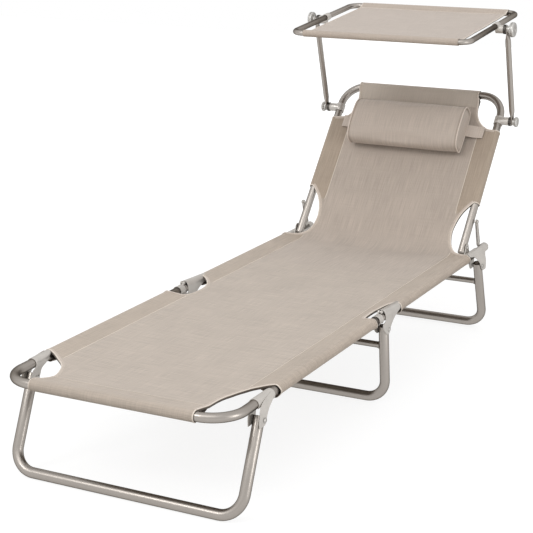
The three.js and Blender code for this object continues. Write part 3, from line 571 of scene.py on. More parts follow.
def frontBracket():
    # a sleeve on the tube runs down into the inner cheek; the outer cheek is a leaf that stands off the tube
    saddle = arch(range(-40, 181, 10), lambda a: 112, lambda a: 186 - 24 * max(0, -math.cos(math.radians(a))) ** 2)
    inner = [(232, 269.4, 109, 148), (226, 271.6, 104, 139), (219, 273.6, 100.5, 135), (208, 274.2, 97.5, 131),
             (193.6, 274.2, 98, 121)]
    saddle += cheekRows(inner)
    leaf = [[(290.4, 172, 250.4), (292.6, 185, 245)], [(292, 163, 249.4), (293.2, 180, 240.6)],
            [(293, 149, 247.4), (293.9, 176.5, 237.6)], [(294.4, 134, 244.4), (294.9, 170.5, 234)],
            [(296, 121, 240.2), (296.2, 162, 229.8)], [(297.8, 110.5, 234.6), (297.8, 151, 225.2)],
            [(299.4, 104.5, 227.6), (299.4, 141, 218.6)], [(300.8, 101, 218.6), (300.6, 134, 211.6)],
            [(301.3, 98, 209.6), (301.3, 129, 203.6)], [(301.6, 96.8, 200.4), (301.6, 124.6, 197)],
            [(301.6, 97.6, 193.6), (301.6, 120.4, 193.6)]]
    return joined("frontLegBracket_right", pressedPlate("frontSaddle", saddle), pressedPlate("frontLeaf", leaf))


def midBracket():
    # both cheeks and the saddle are one bent plate, high in front where the hinge lug is welded on
    cheek = [(193.4, 294.8, 797, 806), (197, 294.8, 790.6, 809.6), (201, 294.8, 784.5, 812), (207, 294.8, 778.4, 815),
             (213, 294.8, 773, 820), (219, 294.8, 769.6, 827), (224, 294.6, 769, 835), (227.4, 294.2, 770.4, 842),
             (229.4, 294, 784, 846.6), (233, 293.7, 787, 858), (236.4, 293.4, 787.4, 870)]
    outer = cheekRows(cheek)
    top = arch(range(0, 181, 12), lambda a: 787.6, lambda a: 883 + 10 * math.sin(math.radians(a)), 12.2, (18.6, 12.2),
               240)
    inner = [[(2 * rail["x"] - x, y, z) for x, y, z in row] for row in reversed(outer)]
    plate = pressedPlate("midPlate", outer + top + inner)
    return joined("midLegBracket_right", plate, lug("midLug", rail["x"] + 3.6, 789))


def footKnuckle():
    # a collar with a raised bead at either end
    parts = [pressedPlate("collar", arch(range(-44, 225, 12), lambda a: 750.8, lambda a: 774.5, 12), 1.6, 8)]
    for place in (752, 773):
        parts.append(pressedPlate("bead", arch(range(-46, 227, 12), lambda a: place - 1.2, lambda a: place + 1.2, 12.5),
                                  2.2, 4, 0.8))
    return joined("footHingeEar_right", *parts, lug("footLug", rail["x"] - 3.6, 771.8))


def rearBracket():
    # the saddle runs on to the rounded end and has a slot for the strut; below it the two cheeks narrow to the leg
    cheek = [(190.4, 304.6, 1476, 1500), (194, 304.7, 1470, 1502.6), (203, 304.7, 1463, 1503),
             (212, 304.6, 1457.5, 1503), (219, 303.6, 1452.5, 1504), (226, 300.4, 1447.6, 1508),
             (232, 296.8, 1443, 1517), (236, 294.4, 1438, 1528)]
    lead = {0: (1432, 1540), 10: (1420, 1550), 20: (1408, 1555), 170: (1412, 1548), 180: (1412, 1548)}
    angles = [0, 10, 20, *range(30, 151, 12), 160, 170, 180]
    front, rear = (lambda a, k=k: lead.get(a, (1402.6, 1556))[k] for k in (0, 1))
    inner = cheekRows((z, 268.9, y0, y1) for z, x, y0, y1 in reversed(cheek))
    strutSlot, hinge = ((268.4, 1486, 242), (281.5, 1529, 256)), rail["backHingeAt"]
    plate = pressedPlate("rearPlate", cheekRows(cheek) + arch(angles, front, rear) + inner, 1.8, 42, 0.5, 2, strutSlot)
    # the underside of the hollow end, behind the opening that the strut drops through
    under = pressedPlate("rearUnder", arch(range(-186, 8, 12), lambda a: 1531, lambda a: 1555.6, 11.7), 1.4)
    widths = [(273.2, 2.5), (272, 5.6), (269.6, 9.1), (266.6, 11.3), (260.8, 12.7), (250, 17.2), (239, 21.6),
              (230, 25.2)]
    ear = pressedPlate("rearEar", cheekRows((z, 268.7, hinge - w, hinge + w) for z, w in widths), 1.6)
    return joined("rearBracket_right", plate, under, ear)


def backStrut():
    # a flattened bar, wider towards its foot, with a groove pressed along it
    top, foot = Vector((275.1, 1494.9, 326.4)), Vector((275.1, 1517.4, 255.2))
    along, across = (foot - top).normalized(), Vector((0, (foot - top).z, -(foot - top).y)).normalized()
    length = (foot - top).length
    line = [(-6.3, 1.8), (-5.6, 3.6), (-3.6, 5.4), (0, 6.3), (8, 6.4), (24, 6.6), (42, 7.6), (56, 8.4),
            (length - 2, 8.4), (length + 2, 7.2), (length + 5, 5), (length + 6.2, 2.4)]
    rows = [[tuple(top + along * s + across * w), tuple(top + along * s - across * w)] for s, w in line]
    bar = pressedPlate("strutBar", rows, 3.4, 12, 1.0)
    rims = []
    for sign in (-1, 1):
        edge = [[tuple(top + along * s + across * sign * (w - 2.2)), tuple(top + along * s + across * sign * w)]
                for s, w in line[3:9]]
        rims.append(pressedPlate("strutRim", edge, 5.8, 4, 1.0))
    return joined("backStrut_right", bar, *rims)


plates = [(frontBracket, "front_leg_bracket", "foot_section"), (footKnuckle, "foot_hinge_ear", "foot_section"),
          (midBracket, "mid_leg_bracket", "seat"), (rearBracket, "rear_bracket", "seat"),
          (backStrut, "back_strut", None)]
for build, node, body in plates:
    right = build()
    left = mirroredCopy(right, right.name.replace("right", "left"))
    for obj, side in ((right, "right"), (left, "left")):
        finish(obj, 40, plateMetal, "bracket", body or "back_strut_" + side, node + "_" + side)
print("brackets made")

# rivets, pins and bolts


def rivetPiece(name, middle, reach, shank, head, height):
    # a shank along X with a domed head at each end
    dome = [(0, 1), (0.08, 0.45 * head), (0.35, 0.8 * head), (0.7, 0.96 * head), (1, head)]
    left = [(-reach - height * (1 - a), max(r, 0.6)) for a, r in dome]
    right = [(reach + height * (1 - a), max(r, 0.6)) for a, r in reversed(dome)]
    return turned(name, middle, Vector((1, 0, 0)), left + [(-reach, shank), (reach, shank)] + right, 24)


def pinPiece(name, middle, start, end, shank, head, height, sign):
    cap = [(end + height * along, head * share) for along, share in ((0, 1), (0.4, 0.94), (0.75, 0.75), (1, 0.35))]
    return turned(name, middle, Vector((sign, 0, 0)), [(start, shank), (end, shank)] + cap, 24)


for side, sign in (("left", -1), ("right", 1)):
    for name, body in (("front", "foot_section"), ("mid", "seat"), ("rear", "seat")):
        hinge = hinges[name + "_leg_fold"]
        place = Vector((sign * legs[name]["x"] * unit, hinge.y, hinge.z))
        obj = rivetPiece(name + "LegRivet_" + side, place, 15, 3, 6, 2.5)
        finish(obj, 35, rivetMetal, "rivet", body, name + "_leg_rivet_" + side)
    hinge = hinges["foot_fold"]
    place = Vector((sign * rail["x"] * unit, hinge.y, hinge.z))
    obj = rivetPiece("midHingePin_" + side, place, 5.8, 2.3, 3.6, 1.0)
    finish(obj, 35, plateMetal, "rivet", "seat", "mid_hinge_pin_" + side)
    for label, node, up, end in (("backHingePin_", "back_hinge_pin_", 0, 270), ("strutPin_", "strut_pin_", 86, 278.3)):
        obj = pinPiece(label + side, at(backSpace, 0, up, 0), back["x"], end, 3, 6, 2.5, sign)
        finish(obj, 35, rivetMetal, "rivet", "back", node + side)
print("metalwork made")

# knobs on their bolts

knobs = {
    "arm": {"body": "back", "radius": 15, "thickness": 14, "flutes": 12},
    "canopy": {"body": "canopy", "radius": 21, "thickness": 20, "flutes": 0},
}
collarProfile = [(7.5, 12.6), (7.2, 13.4), (5.4, 13.4), (5.1, 12.6), (4.5, 12.6), (4.2, 13.4), (2.4, 13.4),
                 (2.1, 12.6), (1.5, 12.6), (1.2, 13.2), (0.4, 13.2)]


def drawFlutes(obj, centre, radius, flutes):
    # every other run of the rim's sides is drawn in
    openEdit(obj, "DESELECT")
    bm = bmesh.from_edit_mesh(obj.data)
    for vertex in bm.verts:
        away = vertex.co - centre
        angle = math.atan2(away.z, away.y) % (math.tau / flutes)
        vertex.select = math.hypot(away.y, away.z) > (radius - 3) * unit and angle < math.tau / flutes * 0.45
    bm.select_flush_mode()
    bmesh.update_edit_mesh(obj.data)
    bpy.ops.transform.resize(value=(1, 0.92, 0.92), center_override=centre)
    bpy.ops.object.mode_set(mode="OBJECT")


for name, knob in knobs.items():
    r, t = knob["radius"], knob["thickness"]
    outer, inner = arm["x"] + 2.5, arm["x"] - 2.5
    for side, sign in (("left", -1), ("right", 1)):
        centre = hinges[name + "_tilt"].copy()
        centre.x = 0
        direction = Vector((sign, 0, 0))
        # hub, skirt, groove and crowned face
        profile = [(0.3, 11), (0.35 * t - 1, 11), (0.35 * t, r - 4), (0.35 * t + 0.6, r - 1.4), (0.35 * t + 2, r - 0.4),
                   (0.5 * t, r), (0.6 * t, r), (0.62 * t, r - 1.4), (0.7 * t, r - 1.4), (0.72 * t, r),
                   (t - 2.4, r - 0.3), (t - 1, r - 1.4), (t - 0.2, r - 3.4), (t, r - 5), (t, r * 0.42),
                   (t - 1.6, r * 0.38), (t - 1.6, r * 0.2), (t - 1, r * 0.12)]
        obj = turned(name + "Knob_" + side, centre, direction, [(a + outer, b) for a, b in profile], 72)
        if knob["flutes"]:
            drawFlutes(obj, centre, r, knob["flutes"])
        finish(obj, 30, knobMetal, "knob", name + "_knob_" + side, name + "_knob_" + side)
        bolt = turned(name + "Bolt_" + side, centre, direction, [(inner - 8.7, 3), (outer + t * 0.5, 3)], 16)
        collar = turned(name + "Collar_" + side, centre, direction, [(inner - a, b) for a, b in collarProfile], 40)
        roundEdges(bolt, 0.4)
        finish(bolt, 30, rivetMetal, "rivet", knob["body"], name + "_bolt_" + side)
        finish(collar, 30, collarMetal, "clamp", knob["body"])
print("knobs made")

# cloth

sleeve = {"radius": 13.6, "seam": 50, "leastSeam": 17, "thickness": 1.3, "dip": 7}


def clamp(value):
    return min(max(value, 0.0), 1.0)


def ease(value):
    return clamp(value) ** 2 * (3 - 2 * clamp(value))


def nearest(places, mark):
    return min(range(len(places)), key=lambda i: abs(places[i] - mark))


def sidePath(start, heading, parts):
    # lines (length,) and arcs (radius, degrees) in the side view; gives place and normal at a distance
    def move(place, facing, part, share):
        if len(part) == 1:
            return place + Vector((math.cos(facing), math.sin(facing))) * part[0] * share, facing
        turn = math.radians(part[1])
        centre = place + Vector((-math.sin(facing), math.cos(facing))) * part[0] * math.copysign(1, turn)
        return centre + Matrix.Rotation(turn * share, 2) @ (place - centre), facing + turn * share

    runs, place, facing, total = [], Vector(start), math.radians(heading), 0.0
    for part in parts:
        length = part[0] * abs(math.radians(part[1])) if len(part) > 1 else part[0]
        runs.append((total, length, place, facing, part))
        place, facing = move(place, facing, part, 1)
        total += length

    def find(distance):
        begin, length, place, facing, part = next((r for r in reversed(runs) if distance >= r[0]), runs[0])
        place, facing = move(place, facing, part, (distance - begin) / length)
        return place, Vector((-math.sin(facing), math.cos(facing)))
    return find, total


def widthAt(line, place):
    # half width at a place along, from a line of (half width, place)
    if place <= line[0].y:
        return line[0].x
    for first, second in zip(line, line[1:]):
        if second.y >= place:
            span = max(second.y - first.y, 1e-6)
            return first.x + (second.x - first.x) * (place - first.y) / span
    return line[-1].x


def rowPlaces(start, end, marks, fine=1.2, coarse=7.0):
    # rows lie close at the marks and get wider away from them
    places, here = [start], start
    while here < end:
        near = min([abs(here - m) for m in marks] + [1e9])
        step = min(max(fine + 0.22 * near, fine), coarse)
        nextMark = min([m for m in marks if m > here + 1e-6] + [end])
        here = min(nextMark if here + step * 1.4 > nextMark else here + step, end)
        places.append(here)
    return places


edgeColumns = [0, 1.6, 3.4, 5.6, 7.4, 8.4, 9.4, 12, 18, 27, 37, 44, 47.5, 48.7, 49.3, 50, 50.7, 51.3, 52.6, 57, 66, 80,
               98, 120]
hemColumn, seamColumn = edgeColumns.index(8.4), edgeColumns.index(50)
hemEnd, seamStart = 12, 47.5  # the columns between these two are squeezed where the seam comes close to the edge
middleColumns, arcSteps, flapSteps = 12, 14, 4
ridgeShape = ((-1.3, 0.3), (-0.7, -0.35), (0, -0.35), (0.7, -0.35), (1.3, 0.3))
panel = {
    "sag": 4, "sagOver": 160, "drawn": 1.25,  # how deep it sags, how far from its ends, how steeply it is pulled down
    "ripples": ((0.009, 0.006, 1, 0.9), (0.03, 0.012, 6, 0.3)),  # (across, along, seed, height)
    "seamStep": 0.35, "hemStep": 0.4,  # a seam stands up and lies down by this, the hem's stitching lies deeper
    # the head wrap's pale value is painted light; the hem's and turned end's deep values are partly painted shade
    "seamPale": 0.85, "hemPale": 0.3, "rowPale": 0.3, "wrapPale": 0.33, "hemDeep": 0.6, "endDeep": 0.5,
    "standOff": {rail["x"]: 2.2, back["x"]: 0.2}, "standOver": 22,  # a sleeve's free end, by the tube it is on
    "fadeFrom": 1240, "fadeOver": 260, "turnOver": 60,  # from the flat seat to the back's painted shade, and at the head
}


def columnSpots(half, seamAt):
    # distances in from the edge: the hem keeps to the edge, the seam to its own line until the edge comes close
    seam = min(sleeve["seam"], max(half - seamAt, sleeve["leastSeam"]))
    squeeze = (seam - sleeve["seam"] + seamStart - hemEnd) / (seamStart - hemEnd)
    spots = [d if d <= hemEnd else hemEnd + (d - hemEnd) * squeeze if d <= seamStart else d - sleeve["seam"] + seam
             for d in edgeColumns]
    return spots, clamp((seam - sleeve["leastSeam"]) / 5)


def slingPiece(name, cut):
    # rows run across at places along the path; side sleeves are strips round the tubes, welded to the panel's edge
    find, total = sidePath(cut["start"], cut["heading"], cut["parts"])
    shift = cut["zeroAt"]  # the path's distance where places are counted from
    ridgeRows = [(cut["seamRow"] + off, size) for off, size in ridgeShape]
    marks = {m for side in cut["zones"] for zone in side for m in zone[:2]} | set(cut["marks"])
    places = rowPlaces(-shift, total - shift, sorted(marks | {row[0] for row in ridgeRows}))
    vertices, faces, uvs, lookup = [], [], [], {}
    masks = {"doubled": [], "ridge": [], "upright": []}
    r, thick, reach = sleeve["radius"], sleeve["thickness"], sleeve["seam"]
    low, high = cut["sagSpan"]

    def put(key, x, place, drop, u, double, line=0.0, along=0.0):
        point, normal = find(place + shift)
        spot = point - normal * drop - Vector((normal.y, -normal.x)) * along
        lookup[key] = len(vertices)
        vertices.append(at(plan, x, spot.x, spot.y))
        uvs.append((u * unit, place * unit))
        # painted shade: the tilted back is darkened, fading in past the seat and out again at the head
        upright = seatFade(place) * ease((headAt - 4 - place) / panel["turnOver"])
        for label, value in (("doubled", double), ("ridge", line), ("upright", upright)):
            masks[label].append(value)

    def zoneOf(side, place):
        return next((z for z in cut["zones"][side] if z[0] - 1e-6 <= place <= z[1] + 1e-6), None)

    def halfAt(k, place):
        # the flap under a wrap is cut to the panel's own edge above it
        limit, both, way = cut["flap"]
        return widthAt(cut["edges"][k], both - place if (place - limit) * way > 0 else place)

    def tubeAt(place):
        first, last, start, end = cut["tubes"]
        return first + (last - first) * ease((place - start) / (end - start))

    def dropAt(x, place):
        # the panel pulls down from the tubes' tops to their middle, then sags, with slow ripples
        over = clamp((tubeAt(place) - abs(x)) / reach) ** panel["drawn"]
        over *= clamp((place - low) / reach) * clamp((high - place) / reach)
        level = panel["sag"] * ease((place - low) / panel["sagOver"]) * ease((high - place) / panel["sagOver"])
        inside = max(1 - (x / rail["x"]) ** 2, 0)
        wave = sum(noise.noise(Vector((x * across, place * along, seed))) * height
                   for across, along, seed, height in panel["ripples"])
        return sleeve["dip"] * over + level * inside + wave * over * min(inside * 3, 1)

    width = len(edgeColumns) * 2 + middleColumns - 1
    seamOn = []
    for row, place in enumerate(places):
        deeper = cut["deeper"](place)
        zone = [zoneOf(k, place) for k in (0, 1)]
        halves = [zone[k][2] if zone[k] else halfAt(k, place) for k in (0, 1)]
        (left, leftOn), (right, rightOn) = (columnSpots(half, tubeAt(place) - reach) for half in halves)
        seamOn.append((leftOn, rightOn))
        inner = left[-1] - halves[0], halves[1] - right[-1]
        columns = [d - halves[0] for d in left]
        columns += [inner[0] + (inner[1] - inner[0]) * k / middleColumns for k in range(1, middleColumns)]
        columns += [halves[1] - d for d in reversed(right)]
        for column, x in enumerate(columns):
            k = 0 if column < width / 2 else 1
            index = min(column, width - 1 - column)
            shown, free = seamOn[row][k], not zone[k]
            drop, line = dropAt(x, place), 0.0
            if low < place < high:
                off = abs(index - seamColumn)
                if off <= 2:
                    drop += (-panel["seamStep"] if off < 2 else panel["seamStep"]) * shown
                    line = panel["seamPale"] * shown if off < 2 else 0
                if free and index == hemColumn:
                    drop, line = drop + panel["hemStep"], panel["hemPale"]
            # the bands, sleeves, hems and the foot's turned end are darkened, partly for the double layer and partly as
            # painted shade
            mask = shown * deeper if index < seamColumn - 1 else 0.0
            if free and index <= hemColumn:
                mask = max(mask, panel["hemDeep"]) if place < cut["paleFrom"] else panel["hemPale"]
            # painted light on the head wrap: its hem is darkened less and its free cloth is mixed towards the pale
            # colour
            if free and place > cut["paleFrom"]:
                line = max(line, panel["wrapPale"])
            for spot, size in ridgeRows:
                if abs(place - spot) < 1e-4:
                    drop, line = drop + size, max(line, panel["rowPale"] if size < 0 else 0)
            if abs(place - cut["turnedEnd"][0]) < cut["turnedEnd"][1]:
                mask = max(mask, panel["endDeep"])
            over, along = min(max(abs(x) - cut["bendStart"], 0), back["bend"] * 0.6), 0.0
            if over and place > cut["bendFrom"]:
                along = back["bend"] - math.sqrt(back["bend"] ** 2 - over ** 2)
                along *= ease((place - cut["bendFrom"]) / panel["turnOver"])
            put(("p", row, column), x, place, drop, x, mask, line, along)
        for k, sign in ((0, -1), (1, 1)):
            if not zone[k]:
                continue
            # round the tube and back to the seam; the free ends stand off a little
            middle = zone[k][2]
            near = min([abs(place - m) for m in zone[k][:2] if m != butt] + [99])
            loose = panel["standOff"][middle] * max(0.0, 1 - near / panel["standOver"]) ** 2
            seam = Vector((-reach, r - dropAt(middle - reach, place) - 2 * thick))
            last = math.atan2(seam.y, seam.x) + math.acos(r / seam.length) - math.tau
            for step in range(1, arcSteps + 1):
                angle = math.pi / 2 + (last - math.pi / 2) * step / arcSteps
                stand = loose * min(1, (math.pi / 2 - angle) / 1.5) * (1 + 0.4 * math.sin(4 * angle + row * 0.02))
                x = sign * (middle + (r + stand) * math.cos(angle))
                u = sign * (middle + r * (math.pi / 2 - angle))
                put(("s", k, row, step), x, place, r - (r + stand) * math.sin(angle), u, deeper)
            foot = Vector((math.cos(last), math.sin(last))) * (r + loose)
            for step in range(1, flapSteps + 1):
                spot = foot.lerp(seam, step / flapSteps)
                u = sign * (middle + r * (math.pi / 2 - last) + (spot - foot).length)
                put(("s", k, row, arcSteps + step), sign * (middle + spot.x), place, r - spot.y, u, deeper)

    def strip(row, keysOf):
        here, ahead = ([lookup[key] for key in keysOf(i)] for i in (row, row + 1))
        return [(a, b, d, c) for a, b, c, d in zip(here, here[1:], ahead, ahead[1:])]

    def panelKeys(i):
        return [("p", i, column) for column in range(width)]

    def sleeveKeys(i, k, last):
        return [("p", i, k * (width - 1))] + [("s", k, i, n) for n in range(1, last + 1)]

    for row in range(len(places) - 1):
        faces += strip(row, panelKeys)
        for k in (0, 1):
            both = zoneOf(k, places[row]), zoneOf(k, places[row + 1])
            if both[0] and both[0] is both[1]:
                quads = strip(row, lambda i: sleeveKeys(i, k, arcSteps + flapSteps))
                faces += quads if k else [quad[::-1] for quad in quads]
    obj = meshPiece(name, vertices, faces)
    mapCloth(obj, uvs)
    markPoints(obj, **masks)
    area, known = measured(obj)

    def lineOf(keys):
        return [known[lookup[key]] for key in keys]

    def runs(test, k, column):
        found = [[]]
        for row in range(len(places)):
            if test(row, k):
                found[-1].append(("p", row, column))
            else:
                found.append([])
        return [lineOf(run) for run in found if len(run) > 3]

    def isFree(row, k):
        near = (row, max(row - 1, 0), min(row + 1, len(places) - 1))
        return cut["bindFrom"] <= places[row] <= cut["bindTo"] and not all(zoneOf(k, places[i]) for i in near)

    def isWrapped(row, k):
        return not cut["bindFrom"] < places[row] < cut["bindTo"] and not zoneOf(k, places[row])

    def isSewn(row, k):
        return seamOn[row][k] > 0.5 and low + 8 < places[row] < high - 8

    # lines for the binding, the rings round the sleeves' ends and the stitches
    edges, rings, seams = [], [], []
    for k, edge in ((0, 0), (1, width - 1)):
        away = Vector((2 * k - 1, 0, 0))
        for run, hemRun in zip(runs(isFree, k, edge), runs(isFree, k, abs(edge - hemColumn))):
            edges.append((run, away))
            seams.append(hemRun)
        rings += [(run, away) for run in runs(isWrapped, k, edge)]
        seams += runs(isSewn, k, abs(edge - seamColumn))
        for end, way in ((end, way) for zone in cut["zones"][k] for end, way in ((zone[0], -1), (zone[1], 1))):
            if end != butt:
                row = nearest(places, end)
                point, normal = find(places[row] + shift)
                rings.append((lineOf(sleeveKeys(row, k, arcSteps)), Vector((0, normal.y, -normal.x)) * way))
    seams.append(lineOf(panelKeys(nearest(places, cut["seamRow"]))[1:-1]))
    applyModifier(obj, "SOLIDIFY", thickness=thick * unit, offset=-1, use_even_offset=False)
    smooth(obj, 50)
    return obj, edges, rings, seams, area


def sweepBand(name, lines, wide, deep):
    # a folded binding round a free edge: top, rounded lip with a painted highlight and painted shade inside; each line
    # comes with its outward way
    outline = [(-wide, 0.2, 0, 0), (-wide * 0.5, 0.5, 0, 0), (-2.4, 0.6, 0, 0), (-1.8, 0.62, 0, 1), (-0.3, 0.4, 0, 1),
               (0.6, -0.35, 0, 1), (0.9, -1.1, 0.9, 0), (0.9, -deep * 0.6, 1, 0), (0.5, -deep + 0.5, 1, 0),
               (-0.4, -deep, 1, 0), (-wide * 0.6, -deep, 1, 0), (-wide, -deep + 0.6, 1, 0)]
    vertices, faces, count = [], [], len(outline)
    for line, away in lines:
        faces += shellFaces(len(line), count, len(vertices), tube=True)
        for i, (spot, normal) in enumerate(line):
            ahead = line[min(i + 1, len(line) - 1)][0] - line[max(i - 1, 0)][0]
            side = ahead.cross(normal).normalized()
            side = -side if side.dot(away) < 0 else side
            vertices += [spot + (side * a + normal * b) * unit for a, b, dark, pale in outline]
    obj = meshPiece(name, vertices, faces)
    # painted shade on the binding's outer face and underside, painted highlight on its lip
    inside, lip = ([row[k] for row in outline] * (len(vertices) // count) for k in (2, 3))
    markPoints(obj, inside=inside, lip=lip)
    openEdit(obj)
    closeEdit(0)
    mapCloth(obj)
    smooth(obj, 60)
    return obj


def stitchLines(name, lines, pitch=4.6, long=3.2, thick=0.42):
    # one stitch is a short pointed roll; it is laid end to end along each line
    sides, rise, droop = 5, 0.32, 0.7
    roll = [(-0.5, 0.25), (-0.3, 0.9), (0, 1.0), (0.3, 0.9), (0.5, 0.25)]
    vertices, faces = [], []
    for line in lines:
        carried = 0.0
        for (a, na), (b, nb) in zip(line, line[1:]):
            gap = (b - a).length
            if gap < 1e-7:
                continue
            direction = (b - a) / gap
            while carried < gap:
                spot = a + direction * carried
                up = na.lerp(nb, carried / gap).normalized()
                side = direction.cross(up).normalized()
                faces += shellFaces(len(roll), sides, len(vertices), flip=True, tube=True)
                for along, swell in roll:
                    centre = spot + direction * along * long * unit + up * (rise - abs(along) * droop) * unit
                    vertices += circleSpots(centre, side, up, thick * swell * unit, sides)
                carried += pitch * unit
            carried -= gap
    obj = meshPiece(name, vertices, faces)
    openEdit(obj)
    closeEdit()
    mapCloth(obj, [v.co.xy for v in obj.data.vertices])
    smooth(obj, 60)
    return obj


def wrapRound(size, layers):
    # the wrap round an end tube: its seam under the panel, the angle at which its flap touches the tube, the flap's
    # length, the turn from there to the tube's top, and the length of it all
    seam = Vector((size["seam"], size["radius"] - size["dip"] - layers * size["thickness"]))
    swing = math.acos(size["radius"] / seam.length)
    contact = math.degrees(math.atan2(seam.y, seam.x) - swing)
    tail, turn = seam.length * math.sin(swing), 270 + contact
    return seam, contact, tail, turn, tail + size["radius"] * math.radians(turn)


seamSpot, wrapEnd, flap, wrapTurn, wrapLength = wrapRound(sleeve, 2.3)
butt = 1130  # where the two slings meet, in the flat part of the seat
crease = {"corner": 1413.9, "backStart": -22.66, "radius": 90}
tangentLength = crease["radius"] * math.tan(math.radians(back["angle"] / 2))
creaseArc = crease["radius"] * math.radians(back["angle"])
backZero = crease["corner"] + creaseArc - 2 * tangentLength - crease["backStart"]  # place of the back hinge
headAt = backZero + back["length"]


def seatFade(place):
    # the back's painted shade fades in past the flat seat
    return ease((place - panel["fadeFrom"]) / panel["fadeOver"])


footLeft = softLine([(201, -200), (201, -3), (197, 6), (190, 16), (184, 28), (181, 42), (181.5, 60), (186, 78),
                     (194, 97), (205, 118), (222, 138), (240, 153), (257, 166), (270, 174), (281, 180)])
footRight = softLine([(207, -200), (207, 0), (208.5, 40), (209, 80), (212, 108), (218, 128), (225, 150), (233, 169),
                      (242, 181), (253, 190), (263, 198), (272, 204), (281, 208)])
midLeft = softLine([(281, 707), (268, 707.8), (255, 710), (244, 714), (236, 723), (231.5, 738), (229.5, 757),
                    (229, 776), (230, 796), (233.5, 820), (240, 838), (250, 853), (262, 866), (272, 873), (281, 877)])
midRight = softLine([(281, 729), (271, 729.8), (263, 732), (259, 739), (257.5, 753), (257, 778), (258, 803),
                     (260.5, 823), (264, 845), (268.5, 863), (274, 876), (281, 884)])
lowerD = [(281, 1390), (268, 1394), (247, 1404), (231, 1420), (219, 1441), (214, 1464)]
lowerD = softLine(lowerD + [(x, backZero + y) for x, y in (
    (214, 54), (219, 80), (229, 105), (242, 124), (252, 136), (256.5, 140))])
headLeft, headRight = (softLine([(x, backZero + y) for x, y in line]) for line in (
    [(256.5, 384), (240, 387), (224, 392), (212, 404), (206.5, 422), (204, 445), (203, 466), (206, 488),
     (209, back["length"]), (209, back["length"] + 150)],
    [(256.5, 384), (240, 385), (224, 391), (207, 405), (194, 423), (186, 445), (184, 468), (181, 490),
     (177, back["length"]), (177, back["length"] + 150)]))

footCut = {
    "flap": (flap - wrapLength, sleeve["seam"] - wrapLength, -1), "deeper": lambda place: 1.0, "paleFrom": 9000,
    "start": (seamSpot.x, seamSpot.y + rail["height"]), "heading": -90 + wrapEnd, "zeroAt": wrapLength,
    "parts": [(flap,), (sleeve["radius"], -wrapTurn), (butt,)],
    "zones": ([(180, 707, rail["x"]), (877, butt, rail["x"])], [(208, 729, rail["x"]), (884, butt, rail["x"])]),
    "marks": [0, 780], "edges": (footLeft + midLeft, footRight + midRight),
    "sagSpan": (4, butt * 3), "seamRow": 46, "turnedEnd": (-20, 66), "bendStart": 900, "bendFrom": 9000,
    "bindFrom": 4, "bindTo": butt, "tubes": (rail["x"], rail["x"], 0, 1),
}
backCut = {
    "flap": (headAt + wrapLength - flap, 2 * headAt - sleeve["seam"] + wrapLength, 1),
    # on the back the darkening of the double layer grows as painted shade where the cloth turns upright
    "deeper": lambda place: 0.5 + 0.5 * seatFade(place), "paleFrom": headAt - 45,
    "start": (butt, rail["height"] + sleeve["radius"]), "heading": 0, "zeroAt": -butt,
    "parts": [(crease["corner"] - tangentLength - butt,), (crease["radius"], back["angle"]),
              (back["length"] - crease["backStart"] - tangentLength,), (sleeve["radius"], -wrapTurn), (flap,)],
    "zones": ([(butt, 1390, rail["x"]), (backZero + 140, backZero + 384, back["x"])],) * 2,
    "marks": [headAt], "edges": (lowerD + headLeft, lowerD + headRight),
    "sagSpan": (butt - 2000, headAt - 4), "seamRow": headAt - 46, "turnedEnd": (0, 0), "bendStart": 188.5,
    "bendFrom": headAt - 60, "bindFrom": 0, "bindTo": headAt - 4, "tubes": (rail["x"], back["x"], 1395, backZero + 130),
}
hem = {"wide": 8, "deep": 6.2, "ringWide": 3.2, "ringDeep": 2.2}


def dressSling(name, cut, cloth, nodes, flat):
    obj, edges, rings, seams, area = slingPiece(name, cut)
    wear(obj, cloth, "sling", *nodes)
    binding = joined(name + "Binding", sweepBand(name + "Binding", edges, hem["wide"], hem["deep"]),
                     sweepBand(name + "Rings", rings, hem["ringWide"], hem["ringDeep"]))
    stitches = stitchLines(name + "Stitches", seams)
    wear(binding, hemCloth, "sling")
    wear(stitches, threadCloth, "sling")
    for piece in (obj, binding, stitches):
        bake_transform(piece)
    print(name, "area", round(area, 4), "flat", [round(v, 3) for v in flat])


flatWidth = 2 * (rail["x"] + wrapLength) * unit
dressSling("footSling", footCut, slingCloth,
           ("foot_sling",), (flatWidth, (wrapLength + butt) * unit))
dressSling("backSling", backCut, backCloth,
           ("seat_sling", "back_sling"),
           (flatWidth, (headAt - butt + wrapLength) * unit))
print("sling made")

# canopy cover

cover = {"half": 239, "left": 0.958, "radius": 9.8, "seam": 26, "thickness": 1.0, "sag": 5, "dip": 8, "hem": (6.5, 8),
         "waist": 0.006, "fullAt": 60, "pale": (0.6, 0.3)}


